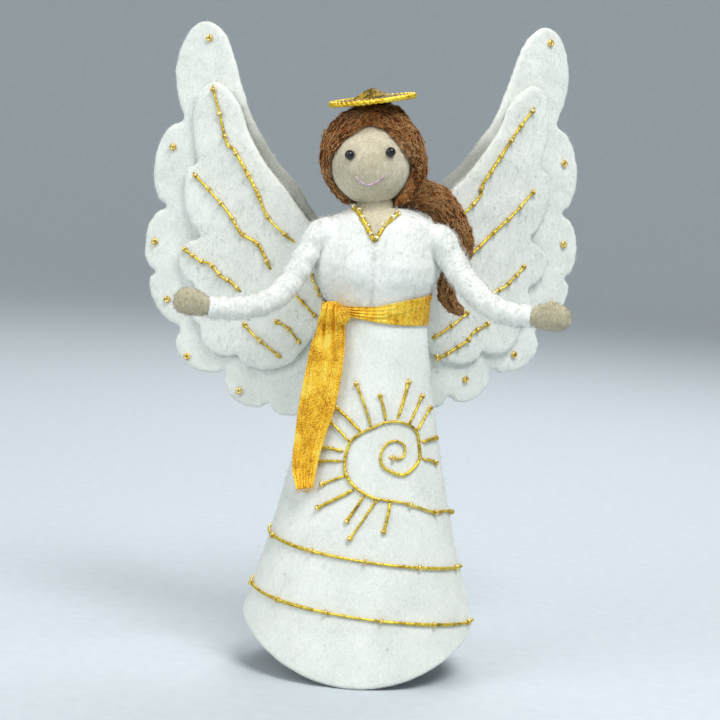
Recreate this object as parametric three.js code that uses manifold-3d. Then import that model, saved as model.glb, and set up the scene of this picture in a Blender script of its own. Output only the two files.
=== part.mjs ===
// Angel tree topper: a felt skirt, a stuffed body with bendable wire arms, and two layered felt wings.
// All lengths are in millimetres and +Z is up. The origin is the middle of the bodice's flat underside,
// which sits on the tip of the tree inside the skirt. The angel faces -Y and +X is at the viewer's right.
// Angles are shares of a full turn.
import * as THREE from 'three';
import { mergeVertices } from 'three/addons/utils/BufferGeometryUtils.js';
import Module from 'manifold-3d';

const wasm = await Module();
wasm.setup();

const clearance = 0.3;
const overrun = 20;
const boreOverrun = 5;

const skirtTopHeight = 14;
const skirtTopHalfWidth = 23.6;
const hemHalfWidth = 55.5;
const skirtSideLength = 148.5;
const hemDip = 23.5;
const skirtFelt = 4;
const skirtBellShare = 0.45;
const skirtTopDepthShare = 0.8;
const hemDepthShare = 0.9;
const hemDipShare = 0.35;

const bodiceTop = 62;
const bodiceHalfWidth = 27.2;
const bodiceHalfDepth = 19.2;
const bustHeight = 33;
const bustSwell = 4.5;
const bustSpacing = 11.5;
const bustReach = 11;
// Each row: height, half-width and half-depth, as shares of the bodice above the skirt's edge.
const bodiceRowShares = [
  [0, 0.86, 0.93], [0.2, 0.9, 0.96], [0.38, 0.985, 1], [0.62, 1, 1], [0.78, 0.965, 0.95],
  [0.89, 0.86, 0.85], [0.96, 0.62, 0.66], [1, 0.4, 0.46],
];

const neckRadius = 8;
const neckSink = 12;
const neckShift = -2.4;
const neckLean = -2.2;
const neckDepthShift = 1;
const necklineShift = -2.6;
const necklineDepth = 15;
const necklineHalfWidth = 10.4;
const necklineBackShare = 0.85;
const trimGap = 0.75;
const trimDrop = 2.5;
const trimStep = 2.5;
const trimBeadShares = [-0.75, -0.25, 0, 0.25, 0.75];
const headRadius = 19.5;
const headShift = -6.7;
const headHeight = 82.4;
const headDepthShift = -1;
const faceRadius = 18.2;
const headSeat = 4.6;

const eyeRadius = 2.3;
const eyeSpacing = 18.8;
const eyeRise = 4.6;
const eyeSinkShare = 0.3;
const headRollShare = 0.0207;
const smileThreadRadius = 0.4;
const smileStep = 1.6;
const smileHalfWidth = 6.6;
const smileDrop = 9.2;
const smileCurl = 3;
const smilePlaceShares = [-1, -0.55, 0, 0.55, 1];

const hairHalfWidth = 25.7;
const hairHalfDepth = 24;
const hairHalfHeight = 26.5;
const hairShift = -5.3;
const hairDepthShift = 2;
const hairRise = 2.1;
const chinGapHalfWidth = 10.6;
const chinGapShift = -2.5;
const chinGapDrop = 10.4;
const chinGapDepth = 7;

const haloRadius = 20.8;
const haloRim = 2.4;
const haloPeak = 4.8;
const haloPeakRadius = 11;
const haloShift = -7.8;
const haloLift = 0.8;
const haloRollShare = 0.027;
const haloPitchShare = 0.0083;
const haloGrooveCount = 3;
const haloGrooveDepth = 0.35;

const ponytailRadius = 7.6;
const ponytailShares = [1, 1, 0.98, 0.86, 0.72, 0.64, 0.58, 0.44, 0.14];

const shoulderHalfWidth = 28.4;
const shoulderHeight = 48;
const shoulderDepth = 4;
const shoulderRadius = 8;
const socketGap = 0.4;
const sleeveRootRadius = 6.5;
const sleeveWristRadius = 5.1;
const wrapPitch = 5;
const wrapRidge = 0.42;
const wireRadius = 0.8;
const wireGap = 0.35;
const wireStep = 6.4;
const handGap = 0.6;
const handLength = 19;
const handRise = 2.6;
const handHalfHeight = 6.5;
const handHalfThickness = 4.6;
const handWireLength = 8;
const handWidthShares = [0.74, 0.9, 1, 0.98, 0.8, 0.46, 0.08];
const handThicknessShares = [1, 1, 1, 0.94, 0.8, 0.46, 0.08];
const neckWireDrop = 22;
const neckWireRise = 14;

const sashRibbon = 0.9;
const sashBottom = 8;
const sashTop = 17;
const sashSideRise = 5.5;
const sashGather = 2.4;
const sashGap = 0.45;
const knotHalfWidth = 5.8;
const knotHalfHeight = 4.6;
const knotHalfDepth = 4.3;
const knotWaistShare = 0.86;
const knotEndShare = 0.04;
const knotTurnShare = 0.107;
const knotHeight = 12.2;
const tailLength = 77;
const tailWidth = 17;
const tailThickness = 0.9;
const tailGap = 0.9;
const tailPleatDepth = 1.5;
const tailPleatCount = 3;
const tailYawShare = 0.0796;
const tailDriftShares = [0, -0.035, -0.065, -0.1, -0.13, -0.11];
const tailWidthShares = [0.78, 0.97, 1, 0.86, 0.7, 0.3];

const cordRadius = 0.8;
const cordGap = 0.45;
const cordStep = 5;
const cordSideCount = 5;
const beadRadius = 1.55;
const beadRingShares = [-1, -0.55, 0.55, 1];
const beadRoomShare = 1.3;
const spiralPitch = 25.6;
const spiralStart = -81.6;
const spiralTurnCount = 2;
const spiralMiddleShare = 0.75;
const spiralStep = 6.5;
const beadSpacing = 29;
const sunStep = 4;
const rayStep = 6;

const wingFelt = 3.2;
const wingReach = 114;
const wingHeight = 190.5;
const wingFoot = -41;
const wingSeat = 2.95;
const wingHingeSpacing = 10;
const wingShift = -4;
const wingRise = 3.8;
// Points along each layer's upper edge, from the root to the tip, as shares of the wing's reach and height.
const backEdgeShares = [
  [0.013, 0.467], [0.149, 0.493], [0.23, 0.538], [0.296, 0.593], [0.377, 0.64], [0.46, 0.701],
  [0.522, 0.755], [0.57, 0.82], [0.605, 0.88], [0.655, 0.953], [0.71, 0.989], [0.766, 1],
  [0.822, 0.984], [0.872, 0.937], [0.893, 0.877], [0.878, 0.803], [0.839, 0.744],
];
const frontEdgeShares = [
  [0.013, 0.446], [0.158, 0.47], [0.25, 0.525], [0.325, 0.575], [0.404, 0.625], [0.478, 0.68],
  [0.53, 0.73], [0.565, 0.783], [0.628, 0.83], [0.702, 0.85], [0.763, 0.822], [0.792, 0.766],
  [0.785, 0.698], [0.754, 0.633],
];
// Each feather below the tip: the middle of its round edge, then the notch that ends it.
const backFeatherShares = [
  [0.972, 0.635, 0.889, 0.516], [1, 0.43, 0.918, 0.343], [0.956, 0.281, 0.805, 0.204],
  [0.772, 0.11, 0.577, 0.11], [0.526, 0.024, 0.374, 0.035], [0.272, 0, 0.175, 0.058],
];
const frontFeatherShares = [
  [0.82, 0.551, 0.712, 0.445], [0.83, 0.385, 0.719, 0.315], [0.763, 0.26, 0.702, 0.215],
  [0.645, 0.147, 0.518, 0.158], [0.395, 0.113, 0.228, 0.173],
];
const wingRootShares = { back: [0.013, 0.341], front: [0.013, 0.346] };
// How far out a feather's curve handles lie, for its round edge to pass through the tip.
const featherHandleShare = 4 / 3;
// Where a bead is sewn near the edge of each large feather. She was made by hand, so the wings differ.
const edgeBeadShares = {
  left: [
    [0.739, 0.955], [0.882, 0.672], [0.944, 0.424], [0.871, 0.276], [0.763, 0.133], [0.513, 0.056],
  ],
  right: [
    [0.775, 0.96], [0.891, 0.65], [0.917, 0.437], [0.875, 0.276], [0.695, 0.142], [0.456, 0.076],
  ],
};
const wingSweepShares = { left: 0.05, right: 0.0806 };

// Cord routes on a wing: distance from the hinge, then height. The first point of each carries a bead.
const wingCordRoutes = {
  left: [
    [[79.9, 118.4], [76.2, 107.3], [70.3, 90], [66.6, 87.7], [54.3, 69.2], [46.5, 55.5], [33, 45.1]],
    [[87.5, 75], [78.8, 67.5], [67.2, 56.3], [60.7, 47.6], [51.3, 42.4], [44.4, 31.2]],
    [[91, 38], [81.1, 32.3], [76.1, 31.3], [69.3, 25.3], [65, 23.6], [59.5, 19.1]],
    [[56.7, 3.3], [49.3, -3], [36.3, -11.4]],
    [[40.1, 6], [33.7, 3.3], [27, -3.7]],
    [[34, 22.4], [28, 17.5], [19.5, 9.9]],
    [[25.4, 33.8], [21.9, 28.2], [19.6, 23.6], [17.8, 19.8]],
  ],
  right: [
    [[79.5, 109.5], [70.9, 98.7], [60.7, 83.4], [51.9, 70.2], [51.1, 65.1], [43.2, 56.5], [37.6, 49.8]],
    [[83, 69.1], [70.5, 56.1], [58.4, 45.4], [49.2, 36.8], [43, 30.3]],
    [[79.9, 31], [69.5, 21], [64.3, 18.3], [59.3, 14.8]],
    [[61.5, 2.3], [52.3, -2.6], [48.8, -6.9], [37.3, -13.7], [30.5, -18.9]],
    [[48.8, 7.4], [36.4, -1.4], [29.2, -5.4]],
  ],
};

// The sun's spiral on the skirt's front: side place, then height, from its middle to its tail.
const sunRoute = [
  [10.9, -52.7], [16, -52.6], [17.4, -49], [16, -45.4], [11.3, -44.2], [7.7, -46.3], [5.7, -51.1],
  [7.4, -55.7], [12.2, -58.7], [18.3, -59.7], [21.8, -56.2], [24.3, -50.9], [23.4, -44.9],
  [22.6, -39.3], [19.1, -35.8], [11.6, -34.4], [5.7, -35.3], [0.7, -37.4], [-3.7, -40.5],
  [-8.6, -45.1], [-10.3, -54.5], [-9, -61.4], [-4, -67.2], [4.2, -71.9], [11.7, -72.4],
  [19.1, -72.3], [32.6, -75.3], [38, -78.5],
];
// How many of the spiral's points, counted from its middle, come before each bead's own.
const sunBeadCounts = [0, 25, 26];
// The rays around the spiral: side place and height of the inner end, then of the beaded end.
const sunRays = [
  [-5.2, -39.7, -15.5, -30], [0.2, -37, -7.4, -18.8], [7.2, -33.3, 4, -23.5],
  [12.9, -32.5, 16.9, -15.5], [19.1, -35.4, 23.3, -22], [22.6, -38.9, 27.8, -27.4],
  [24.7, -43.4, 32, -40.9], [25.4, -51.3, 32.3, -52.8], [-10, -44.6, -18.2, -38.1],
  [-11.9, -50.4, -21.3, -49.1], [-11.7, -54.8, -23.2, -55.5], [-9.8, -62.2, -20.3, -66.4],
  [-5.8, -68.3, -21.5, -77.7], [-1, -70.8, -7.9, -83], [5.2, -72.3, -5.3, -90.9],
  [11.7, -73.3, 9.3, -86.7],
];

// Each arm's route from the middle of its shoulder to the wrist, and the way that its hand lies.
const armRoutes = {
  left: [
    [0, 0, 0], [-7, -3, -12.5], [-13.3, -8, -24.5], [-20.6, -13, -31.5], [-31.1, -17, -35.4],
    [-41.6, -20, -36.2], [-48.6, -22, -35.8],
  ],
  right: [
    [0, 0, 0], [6.1, -3, -9.5], [14.6, -10, -20], [23.1, -17, -27], [32.6, -23.5, -30.2],
    [42.6, -28.3, -30.8],
  ],
};
const handDirections = { left: [-17.6, -4, 2.4], right: [18, -8.5, 0.4] };

// The ponytail's route over the shoulder to its tip. Its heights are from the middle of the head.
const ponytailRoute = [
  [8, 10, -11.2], [18, 11, -12.1], [27, 11.5, -14.4], [34.5, 12, -21.6], [39.5, 12, -32.4],
  [41.5, 11.5, -44.4], [38.5, 11, -55.4], [36, 11, -63.4], [39.5, 11, -68.4],
];

// Places that follow from the sizes above.
const neckBottom = bodiceTop - neckSink;
const neckTop = headHeight - headRadius + headSeat;
const headCentre = new THREE.Vector3(headShift, headDepthShift, headHeight);
const hairHeight = headHeight + hairRise;
const haloHeight = hairHeight + hairHalfHeight + haloLift;
const knotTurn = -turned(knotTurnShare);
const sideNames = ['left', 'right'];

const feltWhite = felt(0xdfe3e4);
const woolWhite = felt(0xe9e9e5);
const skinFelt = felt(0xc4bca0);
const hairWool = felt(0x7a4526);
const sewingThread = felt(0xcba4b4);
const goldCord = metallic(0xdcb62e, 0.42, 0.75);
const goldBead = metallic(0xe3bf3c, 0.22, 0.9);
const sashGold = metallic(0xd7961e, 0.45, 0.55);
const steelWire = metallic(0x9a9b9a, 0.4, 1);
const blackGlass = metallic(0x26262c, 0.08, 0);

function turned(share) {
  return share * Math.PI * 2;
}

function points(route, start = new THREE.Vector3()) {
  return route.map((place) => new THREE.Vector3(...place).add(start));
}

function felt(color) {
  return () => new THREE.MeshStandardMaterial({ color, roughness: 0.95, metalness: 0 });
}

function metallic(color, roughness, metalness) {
  return () => new THREE.MeshStandardMaterial({ color, roughness, metalness });
}

// Turns a closed mesh into a solid that can be joined and cut.
function toSolid(geometry) {
  const bare = geometry.clone();
  bare.deleteAttribute('normal');
  bare.deleteAttribute('uv');
  const welded = mergeVertices(bare);
  return new wasm.Manifold(new wasm.Mesh({
    numProp: 3,
    vertProperties: new Float32Array(welded.attributes.position.array),
    triVerts: new Uint32Array(welded.index.array),
  }));
}

function toGeometry(solid) {
  const mesh = solid.getMesh();
  const geometry = new THREE.BufferGeometry();
  geometry.setAttribute('position', new THREE.BufferAttribute(mesh.vertProperties, 3));
  geometry.setIndex(new THREE.BufferAttribute(mesh.triVerts, 1));
  return geometry;
}

function joined(first, ...others) {
  return others.reduce((solid, other) => solid.add(toSolid(other)), toSolid(first));
}

function cut(first, ...tools) {
  return tools.reduce((solid, tool) => solid.subtract(toSolid(tool)), toSolid(first));
}

// Turns every face around where the surface encloses a negative volume.
function facingOut(geometry) {
  const place = geometry.attributes.position;
  const order = geometry.index.array;
  const corners = [new THREE.Vector3(), new THREE.Vector3(), new THREE.Vector3()];
  let volume = 0;
  for (let face = 0; face < order.length; face += 3) {
    corners.forEach((corner, index) => corner.fromBufferAttribute(place, order[face + index]));
    volume += corners[0].dot(corners[1].clone().cross(corners[2]));
  }
  if (volume < 0) {
    for (let face = 0; face < order.length; face += 3) {
      [order[face], order[face + 1]] = [order[face + 1], order[face]];
    }
  }
  return geometry;
}

function centreOf(ring) {
  return ring.reduce((sum, point) => sum.add(point), new THREE.Vector3()).divideScalar(ring.length);
}

// Joins rings of equal length into a closed surface. A looped skin joins its last ring to its first.
function skin(rings, looped = false) {
  const sides = rings[0].length;
  const points = rings.flat();
  const faces = [];
  const bands = looped ? rings.length : rings.length - 1;
  for (let row = 0; row < bands; row++) {
    const next = (row + 1) % rings.length;
    for (let side = 0; side < sides; side++) {
      const beside = (side + 1) % sides;
      const corner = row * sides + side;
      const opposite = next * sides + beside;
      faces.push(corner, row * sides + beside, opposite, corner, opposite, next * sides + side);
    }
  }
  if (!looped) {
    const last = (rings.length - 1) * sides;
    points.push(centreOf(rings[0]), centreOf(rings[rings.length - 1]));
    for (let side = 0; side < sides; side++) {
      const beside = (side + 1) % sides;
      faces.push(points.length - 2, beside, side, points.length - 1, last + side, last + beside);
    }
  }
  const geometry = new THREE.BufferGeometry().setFromPoints(points);
  geometry.setIndex(faces);
  return facingOut(geometry);
}

// A round cord or wire along a smooth route.
function cord(points, radius, step = cordStep, halfSides = 3) {
  const route = new THREE.CatmullRomCurve3(points);
  const section = new THREE.Shape().absarc(0, 0, radius, 0, Math.PI * 2);
  const steps = Math.ceil(route.getLength() / step);
  return new THREE.ExtrudeGeometry(section, { extrudePath: route, steps, curveSegments: halfSides });
}

function bead(place, radius = beadRadius) {
  return new THREE.SphereGeometry(radius, 6, 4).translate(place.x, place.y, place.z);
}

function ball(place, radius, sides = 20) {
  return new THREE.SphereGeometry(radius, sides, sides / 2).translate(place.x, place.y, place.z);
}

// A cord that swells into a bead at each of some distances along it. It lies on a surface, and each
// bead rises from it along the direction that faces out there.
function beadedCord(points, beadDistances, outwardAt, step = cordStep) {
  const route = new THREE.CatmullRomCurve3(points);
  const length = route.getLength();
  const steps = Math.ceil(length / step);
  const room = beadRadius * beadRoomShare;
  const near = (distance) => beadDistances.some((spot) => Math.abs(spot - distance) < room);
  const plain = Array.from({ length: steps + 1 }, (_, index) => index / steps * length);
  const kept = plain.filter((distance, index) => index === 0 || index === steps || !near(distance));
  const round = beadDistances.flatMap((spot) => beadRingShares.map((share) => spot + share * beadRadius));
  const distances = [...kept, ...round].filter((distance) => distance >= 0 && distance <= length);
  const rings = [...new Set(distances)].sort((first, second) => first - second).map((distance) => {
    const nearest = Math.min(...beadDistances.map((spot) => Math.abs(spot - distance)), beadRadius);
    const radius = Math.max(cordRadius, Math.sqrt(beadRadius * beadRadius - nearest * nearest));
    const tangent = route.getTangentAt(distance / length);
    const centre = route.getPointAt(distance / length);
    const across = tangent.clone().cross(outwardAt(centre)).normalize();
    const outward = across.clone().cross(tangent);
    centre.addScaledVector(outward, radius - cordRadius);
    return Array.from({ length: cordSideCount }, (_, side) => {
      const turn = turned(side / cordSideCount);
      return centre.clone().addScaledVector(across, radius * Math.cos(turn))
        .addScaledVector(outward, radius * Math.sin(turn));
    });
  });
  return skin(rings);
}

// The distance along a route of its point that lies nearest to a place.
function distanceAlong(points, place) {
  const route = new THREE.CatmullRomCurve3(points);
  const tries = 200;
  const places = route.getSpacedPoints(tries);
  const gaps = places.map((point) => point.distanceTo(place));
  return gaps.indexOf(Math.min(...gaps)) / tries * route.getLength();
}

// Moves the first point of a route outwards, so that a bead fits around it at the start.
function withBeadRoom(route) {
  const room = route[0].clone().sub(route[1]).setLength(beadRadius);
  return [route[0].clone().add(room), ...route];
}

// A flat outline in X and Z with a thickness along Y, from its front to its back.
function slab(outline, front, back, curveSegments = 5) {
  const geometry = new THREE.ExtrudeGeometry(outline, {
    depth: back - front, bevelEnabled: false, curveSegments,
  });
  return geometry.rotateX(Math.PI / 2).translate(0, back, 0);
}

function interpolate(shares, share) {
  const place = Math.min(Math.max(share, 0), 1) * (shares.length - 1);
  const row = Math.min(Math.floor(place), shares.length - 2);
  return THREE.MathUtils.lerp(shares[row], shares[row + 1], place - row);
}

// The skirt's outer surface. A turn of 0 is the front, and a share of 1 is the hem.
function skirtHalfWidth(share) {
  const flare = share * (1 - skirtBellShare) + share * share * skirtBellShare;
  return THREE.MathUtils.lerp(skirtTopHalfWidth, hemHalfWidth, flare);
}

function skirtHalfDepth(share) {
  return skirtHalfWidth(share) * THREE.MathUtils.lerp(skirtTopDepthShare, hemDepthShare, share);
}

function skirtLength(turn) {
  const facing = Math.abs(Math.cos(turn));
  return skirtSideLength + hemDip * THREE.MathUtils.lerp(facing * facing, facing, hemDipShare);
}

function skirtPoint(turn, share, lift) {
  return new THREE.Vector3(
    (skirtHalfWidth(share) + lift) * Math.sin(turn),
    -(skirtHalfDepth(share) + lift) * Math.cos(turn),
    skirtTopHeight - share * skirtLength(turn),
  );
}

// The point of the skirt's front that is seen at a given side place and height.
function onSkirt(side, height, lift) {
  let turn = 0;
  let share = 0;
  const passes = 12;
  for (let pass = 0; pass < passes; pass++) {
    share = (skirtTopHeight - height) / skirtLength(turn);
    turn = Math.asin(THREE.MathUtils.clamp(side / (skirtHalfWidth(share) + lift), -1, 1));
  }
  return skirtPoint(turn, share, lift);
}

function skirt() {
  const sides = 40;
  const rows = 7;
  const ring = (share, lift) => Array.from({ length: sides },
    (_, side) => skirtPoint(turned(side / sides), share, lift));
  const outer = Array.from({ length: rows }, (_, row) => ring(row / (rows - 1), 0));
  const inner = Array.from({ length: rows }, (_, row) => ring(1 - row / (rows - 1), -skirtFelt));
  return skin([...outer, ...inner], true);
}

// The bodice's outline above the skirt's edge, at one height.
function bodiceRow(height) {
  const bottom = skirtTopHeight + clearance;
  const share = THREE.MathUtils.clamp((height - bottom) / (bodiceTop - bottom), 0, 1);
  const row = Math.max(bodiceRowShares.findIndex((shares) => shares[0] >= share), 1);
  const [low, high] = [bodiceRowShares[row - 1], bodiceRowShares[row]];
  const blend = (share - low[0]) / (high[0] - low[0]);
  return [
    bodiceHalfWidth * THREE.MathUtils.lerp(low[1], high[1], blend),
    bodiceHalfDepth * THREE.MathUtils.lerp(low[2], high[2], blend),
  ];
}

function bust(side, height) {
  const across = (Math.abs(side) - bustSpacing) / bustReach;
  const up = (height - bustHeight) / bustReach;
  return bustSwell * Math.exp(-across * across - up * up);
}

function bodicePoint(turn, height, lift) {
  const [halfWidth, halfDepth] = bodiceRow(height);
  const side = (halfWidth + lift) * Math.sin(turn);
  const front = Math.max(Math.cos(turn), 0);
  return new THREE.Vector3(
    side, -(halfDepth + lift) * Math.cos(turn) - front * bust(side, height), height,
  );
}

function onBodice(side, height, lift) {
  const turn = Math.asin(THREE.MathUtils.clamp(side / (bodiceRow(height)[0] + lift), -1, 1));
  return bodicePoint(turn, height, lift);
}

function bodiceForm() {
  const sides = 36;
  const turns = Array.from({ length: sides }, (_, side) => turned(side / sides));
  const plugWidth = skirtTopHalfWidth - skirtFelt - clearance;
  const plugDepth = skirtTopHalfWidth * skirtTopDepthShare - skirtFelt - clearance;
  const plug = (height) => turns.map((turn) => new THREE.Vector3(
    plugWidth * Math.sin(turn), -plugDepth * Math.cos(turn), height,
  ));
  const bottom = skirtTopHeight + clearance;
  const rows = 10;
  const body = Array.from({ length: rows + 1 }, (_, row) => {
    const height = THREE.MathUtils.lerp(bottom, bodiceTop, Math.sin(row / rows * Math.PI / 2));
    return turns.map((turn) => bodicePoint(turn, height, 0));
  });
  return skin([plug(0), plug(bottom), ...body]);
}

// The V-shaped opening of the neckline, drawn in by a gap on both edges.
function necklineWedge(gap) {
  const slope = Math.atan2(necklineHalfWidth, necklineDepth);
  const top = bodiceTop + clearance;
  const tip = bodiceTop - necklineDepth + gap / Math.sin(slope);
  const half = (top - tip) * Math.tan(slope);
  const outline = new THREE.Shape([
    new THREE.Vector2(necklineShift, tip),
    new THREE.Vector2(necklineShift + half, top),
    new THREE.Vector2(necklineShift - half, top),
  ]);
  const back = neckDepthShift - neckRadius * necklineBackShare - gap;
  return slab(outline, -bodiceHalfDepth - overrun, back);
}

function neckStub(gap) {
  const sides = 24;
  const radius = neckRadius + gap;
  const ring = (height, lean) => Array.from({ length: sides }, (_, side) => {
    const turn = turned(side / sides);
    return new THREE.Vector3(
      neckShift + lean + radius * Math.sin(turn), neckDepthShift - radius * Math.cos(turn), height,
    );
  });
  return skin([ring(neckBottom - gap, 0), ring(neckTop + gap, neckLean)]);
}

function shoulder(name) {
  const side = name === 'left' ? -shoulderHalfWidth : shoulderHalfWidth;
  return new THREE.Vector3(side, -shoulderDepth, shoulderHeight);
}

function armRoute(name) {
  return points(armRoutes[name], shoulder(name));
}

function neckWireRoute() {
  const bottom = new THREE.Vector3(neckShift, neckDepthShift, neckBottom - neckWireDrop);
  const top = new THREE.Vector3(neckShift + neckLean, neckDepthShift, neckTop + neckWireRise);
  return [bottom, bottom.clone().lerp(top, 0.5), top];
}

function shoulderWireRoute(reach) {
  const [left, right] = sideNames.map(shoulder);
  const side = right.clone().sub(left).normalize().multiplyScalar(shoulderRadius + socketGap - reach);
  return [left.clone().add(side), left.clone().lerp(right, 0.5), right.clone().sub(side)];
}

function bodice() {
  const sockets = sideNames.map((name) => ball(shoulder(name), shoulderRadius + socketGap, 18));
  const armholes = sideNames.map((name) => cord(
    armRoute(name).slice(0, 3), sleeveRootRadius + wrapRidge + socketGap, cordStep, 6,
  ));
  const bore = cord(shoulderWireRoute(boreOverrun), wireRadius + wireGap);
  const wireHole = cord(neckWireRoute(), wireRadius + wireGap);
  return toGeometry(cut(
    bodiceForm(), ...sockets, ...armholes, bore, neckStub(clearance), wireHole, necklineWedge(0),
  ));
}

function neck() {
  const insert = toSolid(bodiceForm()).intersect(toSolid(necklineWedge(clearance)));
  const wireHole = cord(neckWireRoute(), wireRadius + wireGap);
  return toGeometry(insert.add(toSolid(neckStub(0))).subtract(toSolid(wireHole)));
}

// A point of the face, given its place across and up from the middle of the tilted head.
function onFace(across, up, lift) {
  const roll = -turned(headRollShare);
  const side = across * Math.cos(roll) + up * Math.sin(roll);
  const rise = up * Math.cos(roll) - across * Math.sin(roll);
  const reach = headRadius + lift;
  return headCentre.clone().add(
    new THREE.Vector3(side, -Math.sqrt(reach * reach - side * side - rise * rise), rise),
  );
}

function eyePlace(direction) {
  return onFace(direction * eyeSpacing / 2, eyeRise, eyeRadius * (1 - 2 * eyeSinkShare));
}

function head() {
  const skull = ball(headCentre, headRadius, 24);
  const dimples = [-1, 1].map((direction) => ball(eyePlace(direction), eyeRadius + clearance, 10));
  const wireHole = cord(neckWireRoute(), wireRadius + wireGap);
  return toGeometry(cut(skull, neckStub(clearance), ...dimples, wireHole));
}

function smile() {
  const lift = smileThreadRadius + clearance;
  const places = smilePlaceShares.map((share) => onFace(
    share * smileHalfWidth, share * share * smileCurl - smileDrop, lift,
  ));
  return cord(places, smileThreadRadius, smileStep);
}

function hairForm(gap) {
  return new THREE.SphereGeometry(1, 24, 14).rotateX(Math.PI / 2)
    .scale(hairHalfWidth + gap, hairHalfDepth + gap, hairHalfHeight + gap)
    .translate(hairShift, hairDepthShift, hairHeight);
}

// Turns something made around the halo's middle to the halo's own tilt and place.
function placeHalo(geometry) {
  return geometry.rotateX(turned(haloPitchShare)).rotateY(-turned(haloRollShare))
    .translate(haloShift, headDepthShift, haloHeight);
}

function hair() {
  const face = new THREE.CylinderGeometry(faceRadius, faceRadius, overrun * 2, 36)
    .translate(headShift, headDepthShift - overrun, headHeight);
  const chin = new THREE.BoxGeometry(chinGapHalfWidth * 2, overrun * 2, overrun)
    .translate(neckShift + chinGapShift, chinGapDepth - overrun,
      headHeight - chinGapDrop - overrun / 2);
  const below = new THREE.BoxGeometry(overrun * 4, overrun * 4, overrun)
    .translate(0, 0, bodiceTop + clearance - overrun / 2);
  const crown = placeHalo(new THREE.CylinderGeometry(haloRadius, haloRadius, overrun, 32)
    .rotateX(Math.PI / 2).translate(0, 0, overrun / 2 - haloRim / 2 - clearance));
  return toGeometry(cut(
    hairForm(0), ball(headCentre, headRadius + clearance, 24), face, chin, below, crown,
    neckStub(clearance),
  ));
}

// A stiff disc of gold braid with a cord bound around its rim and its middle pushed up into a peak.
function halo() {
  const half = haloRim / 2;
  const rimSteps = 4;
  const profile = [new THREE.Vector2(0, -half)];
  for (let step = 0; step <= rimSteps; step++) {
    const turn = turned((step / rimSteps - 0.5) / 2);
    const rim = new THREE.Vector2(haloRadius - half + half * Math.cos(turn), half * Math.sin(turn));
    profile.push(rim);
  }
  const grooveRows = 3;
  const rows = haloGrooveCount * grooveRows;
  for (let row = 1; row < rows; row++) {
    const radius = (haloRadius - haloRim) * (1 - row / rows);
    const peak = haloPeak * Math.max(1 - radius / haloPeakRadius, 0);
    const groove = row % grooveRows === 0 ? haloGrooveDepth : 0;
    profile.push(new THREE.Vector2(radius, half + peak - groove - haloGrooveDepth));
  }
  profile.push(new THREE.Vector2(0, half + haloPeak - haloGrooveDepth));
  return placeHalo(new THREE.LatheGeometry(profile, 26).rotateX(Math.PI / 2));
}

// Rings along a route. The section gives each ring's half-width, half-depth and share of the route.
function loft(places, steps, section, ringSides) {
  const route = new THREE.CatmullRomCurve3(places);
  const frames = route.computeFrenetFrames(steps);
  return Array.from({ length: steps + 1 }, (_, step) => {
    const share = step / steps;
    const centre = route.getPointAt(share);
    const [halfWidth, halfDepth] = section(share, step);
    return Array.from({ length: ringSides }, (_, side) => {
      const turn = turned(side / ringSides);
      return centre.clone()
        .addScaledVector(frames.normals[step], halfWidth * Math.cos(turn))
        .addScaledVector(frames.binormals[step], halfDepth * Math.sin(turn));
    });
  });
}

function ponytail() {
  const route = points(ponytailRoute, new THREE.Vector3(0, 0, headHeight));
  const rings = loft(route, 16, (share) => {
    const radius = ponytailRadius * interpolate(ponytailShares, share);
    return [radius, radius];
  }, 12);
  return toGeometry(cut(skin(rings), hairForm(clearance)));
}

function sleeve(name) {
  const route = armRoute(name);
  const length = new THREE.CatmullRomCurve3(route).getLength();
  const wrapRings = 3;
  const rings = loft(route, Math.round(length / wrapPitch) * wrapRings, (share, step) => {
    const ridge = step % wrapRings === 0 ? 0 : wrapRidge;
    const radius = THREE.MathUtils.lerp(sleeveRootRadius, sleeveWristRadius, share) + ridge;
    return [radius, radius];
  }, 10);
  const wrist = route[route.length - 1];
  const past = wrist.clone().add(handDirection(name).multiplyScalar(boreOverrun));
  const bore = cord([...route, past], wireRadius + wireGap, wireStep);
  return toGeometry(joined(skin(rings), ball(route[0], shoulderRadius, 16)).subtract(toSolid(bore)));
}

function handDirection(name) {
  return new THREE.Vector3(...handDirections[name]).normalize();
}

function wireEnd(name, gap) {
  return armRoute(name).pop().addScaledVector(handDirection(name), handWireLength + gap);
}

function armWire(name) {
  return cord([...armRoute(name), wireEnd(name, 0)], wireRadius, wireStep);
}

// A flat felt mitten that starts just past the end of the sleeve.
function hand(name) {
  const sides = 14;
  const wrist = armRoute(name).pop();
  const direction = handDirection(name);
  const up = new THREE.Vector3(0, 0, 1);
  const across = direction.clone().cross(up).normalize();
  const rise = across.clone().cross(direction);
  const rings = handWidthShares.map((share, row) => {
    const place = Math.sin(turned(row / (handWidthShares.length - 1)) / 4);
    const centre = wrist.clone().addScaledVector(direction, handGap + place * handLength)
      .addScaledVector(up, handRise * place * (1 - place));
    return Array.from({ length: sides }, (_, side) => {
      const turn = turned(side / sides);
      return centre.clone()
        .addScaledVector(rise, handHalfHeight * share * Math.cos(turn))
        .addScaledVector(across, handHalfThickness * handThicknessShares[row] * Math.sin(turn));
    });
  });
  const bore = cord([...armRoute(name), wireEnd(name, clearance)], wireRadius + wireGap, wireStep);
  return toGeometry(cut(skin(rings), bore));
}

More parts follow.
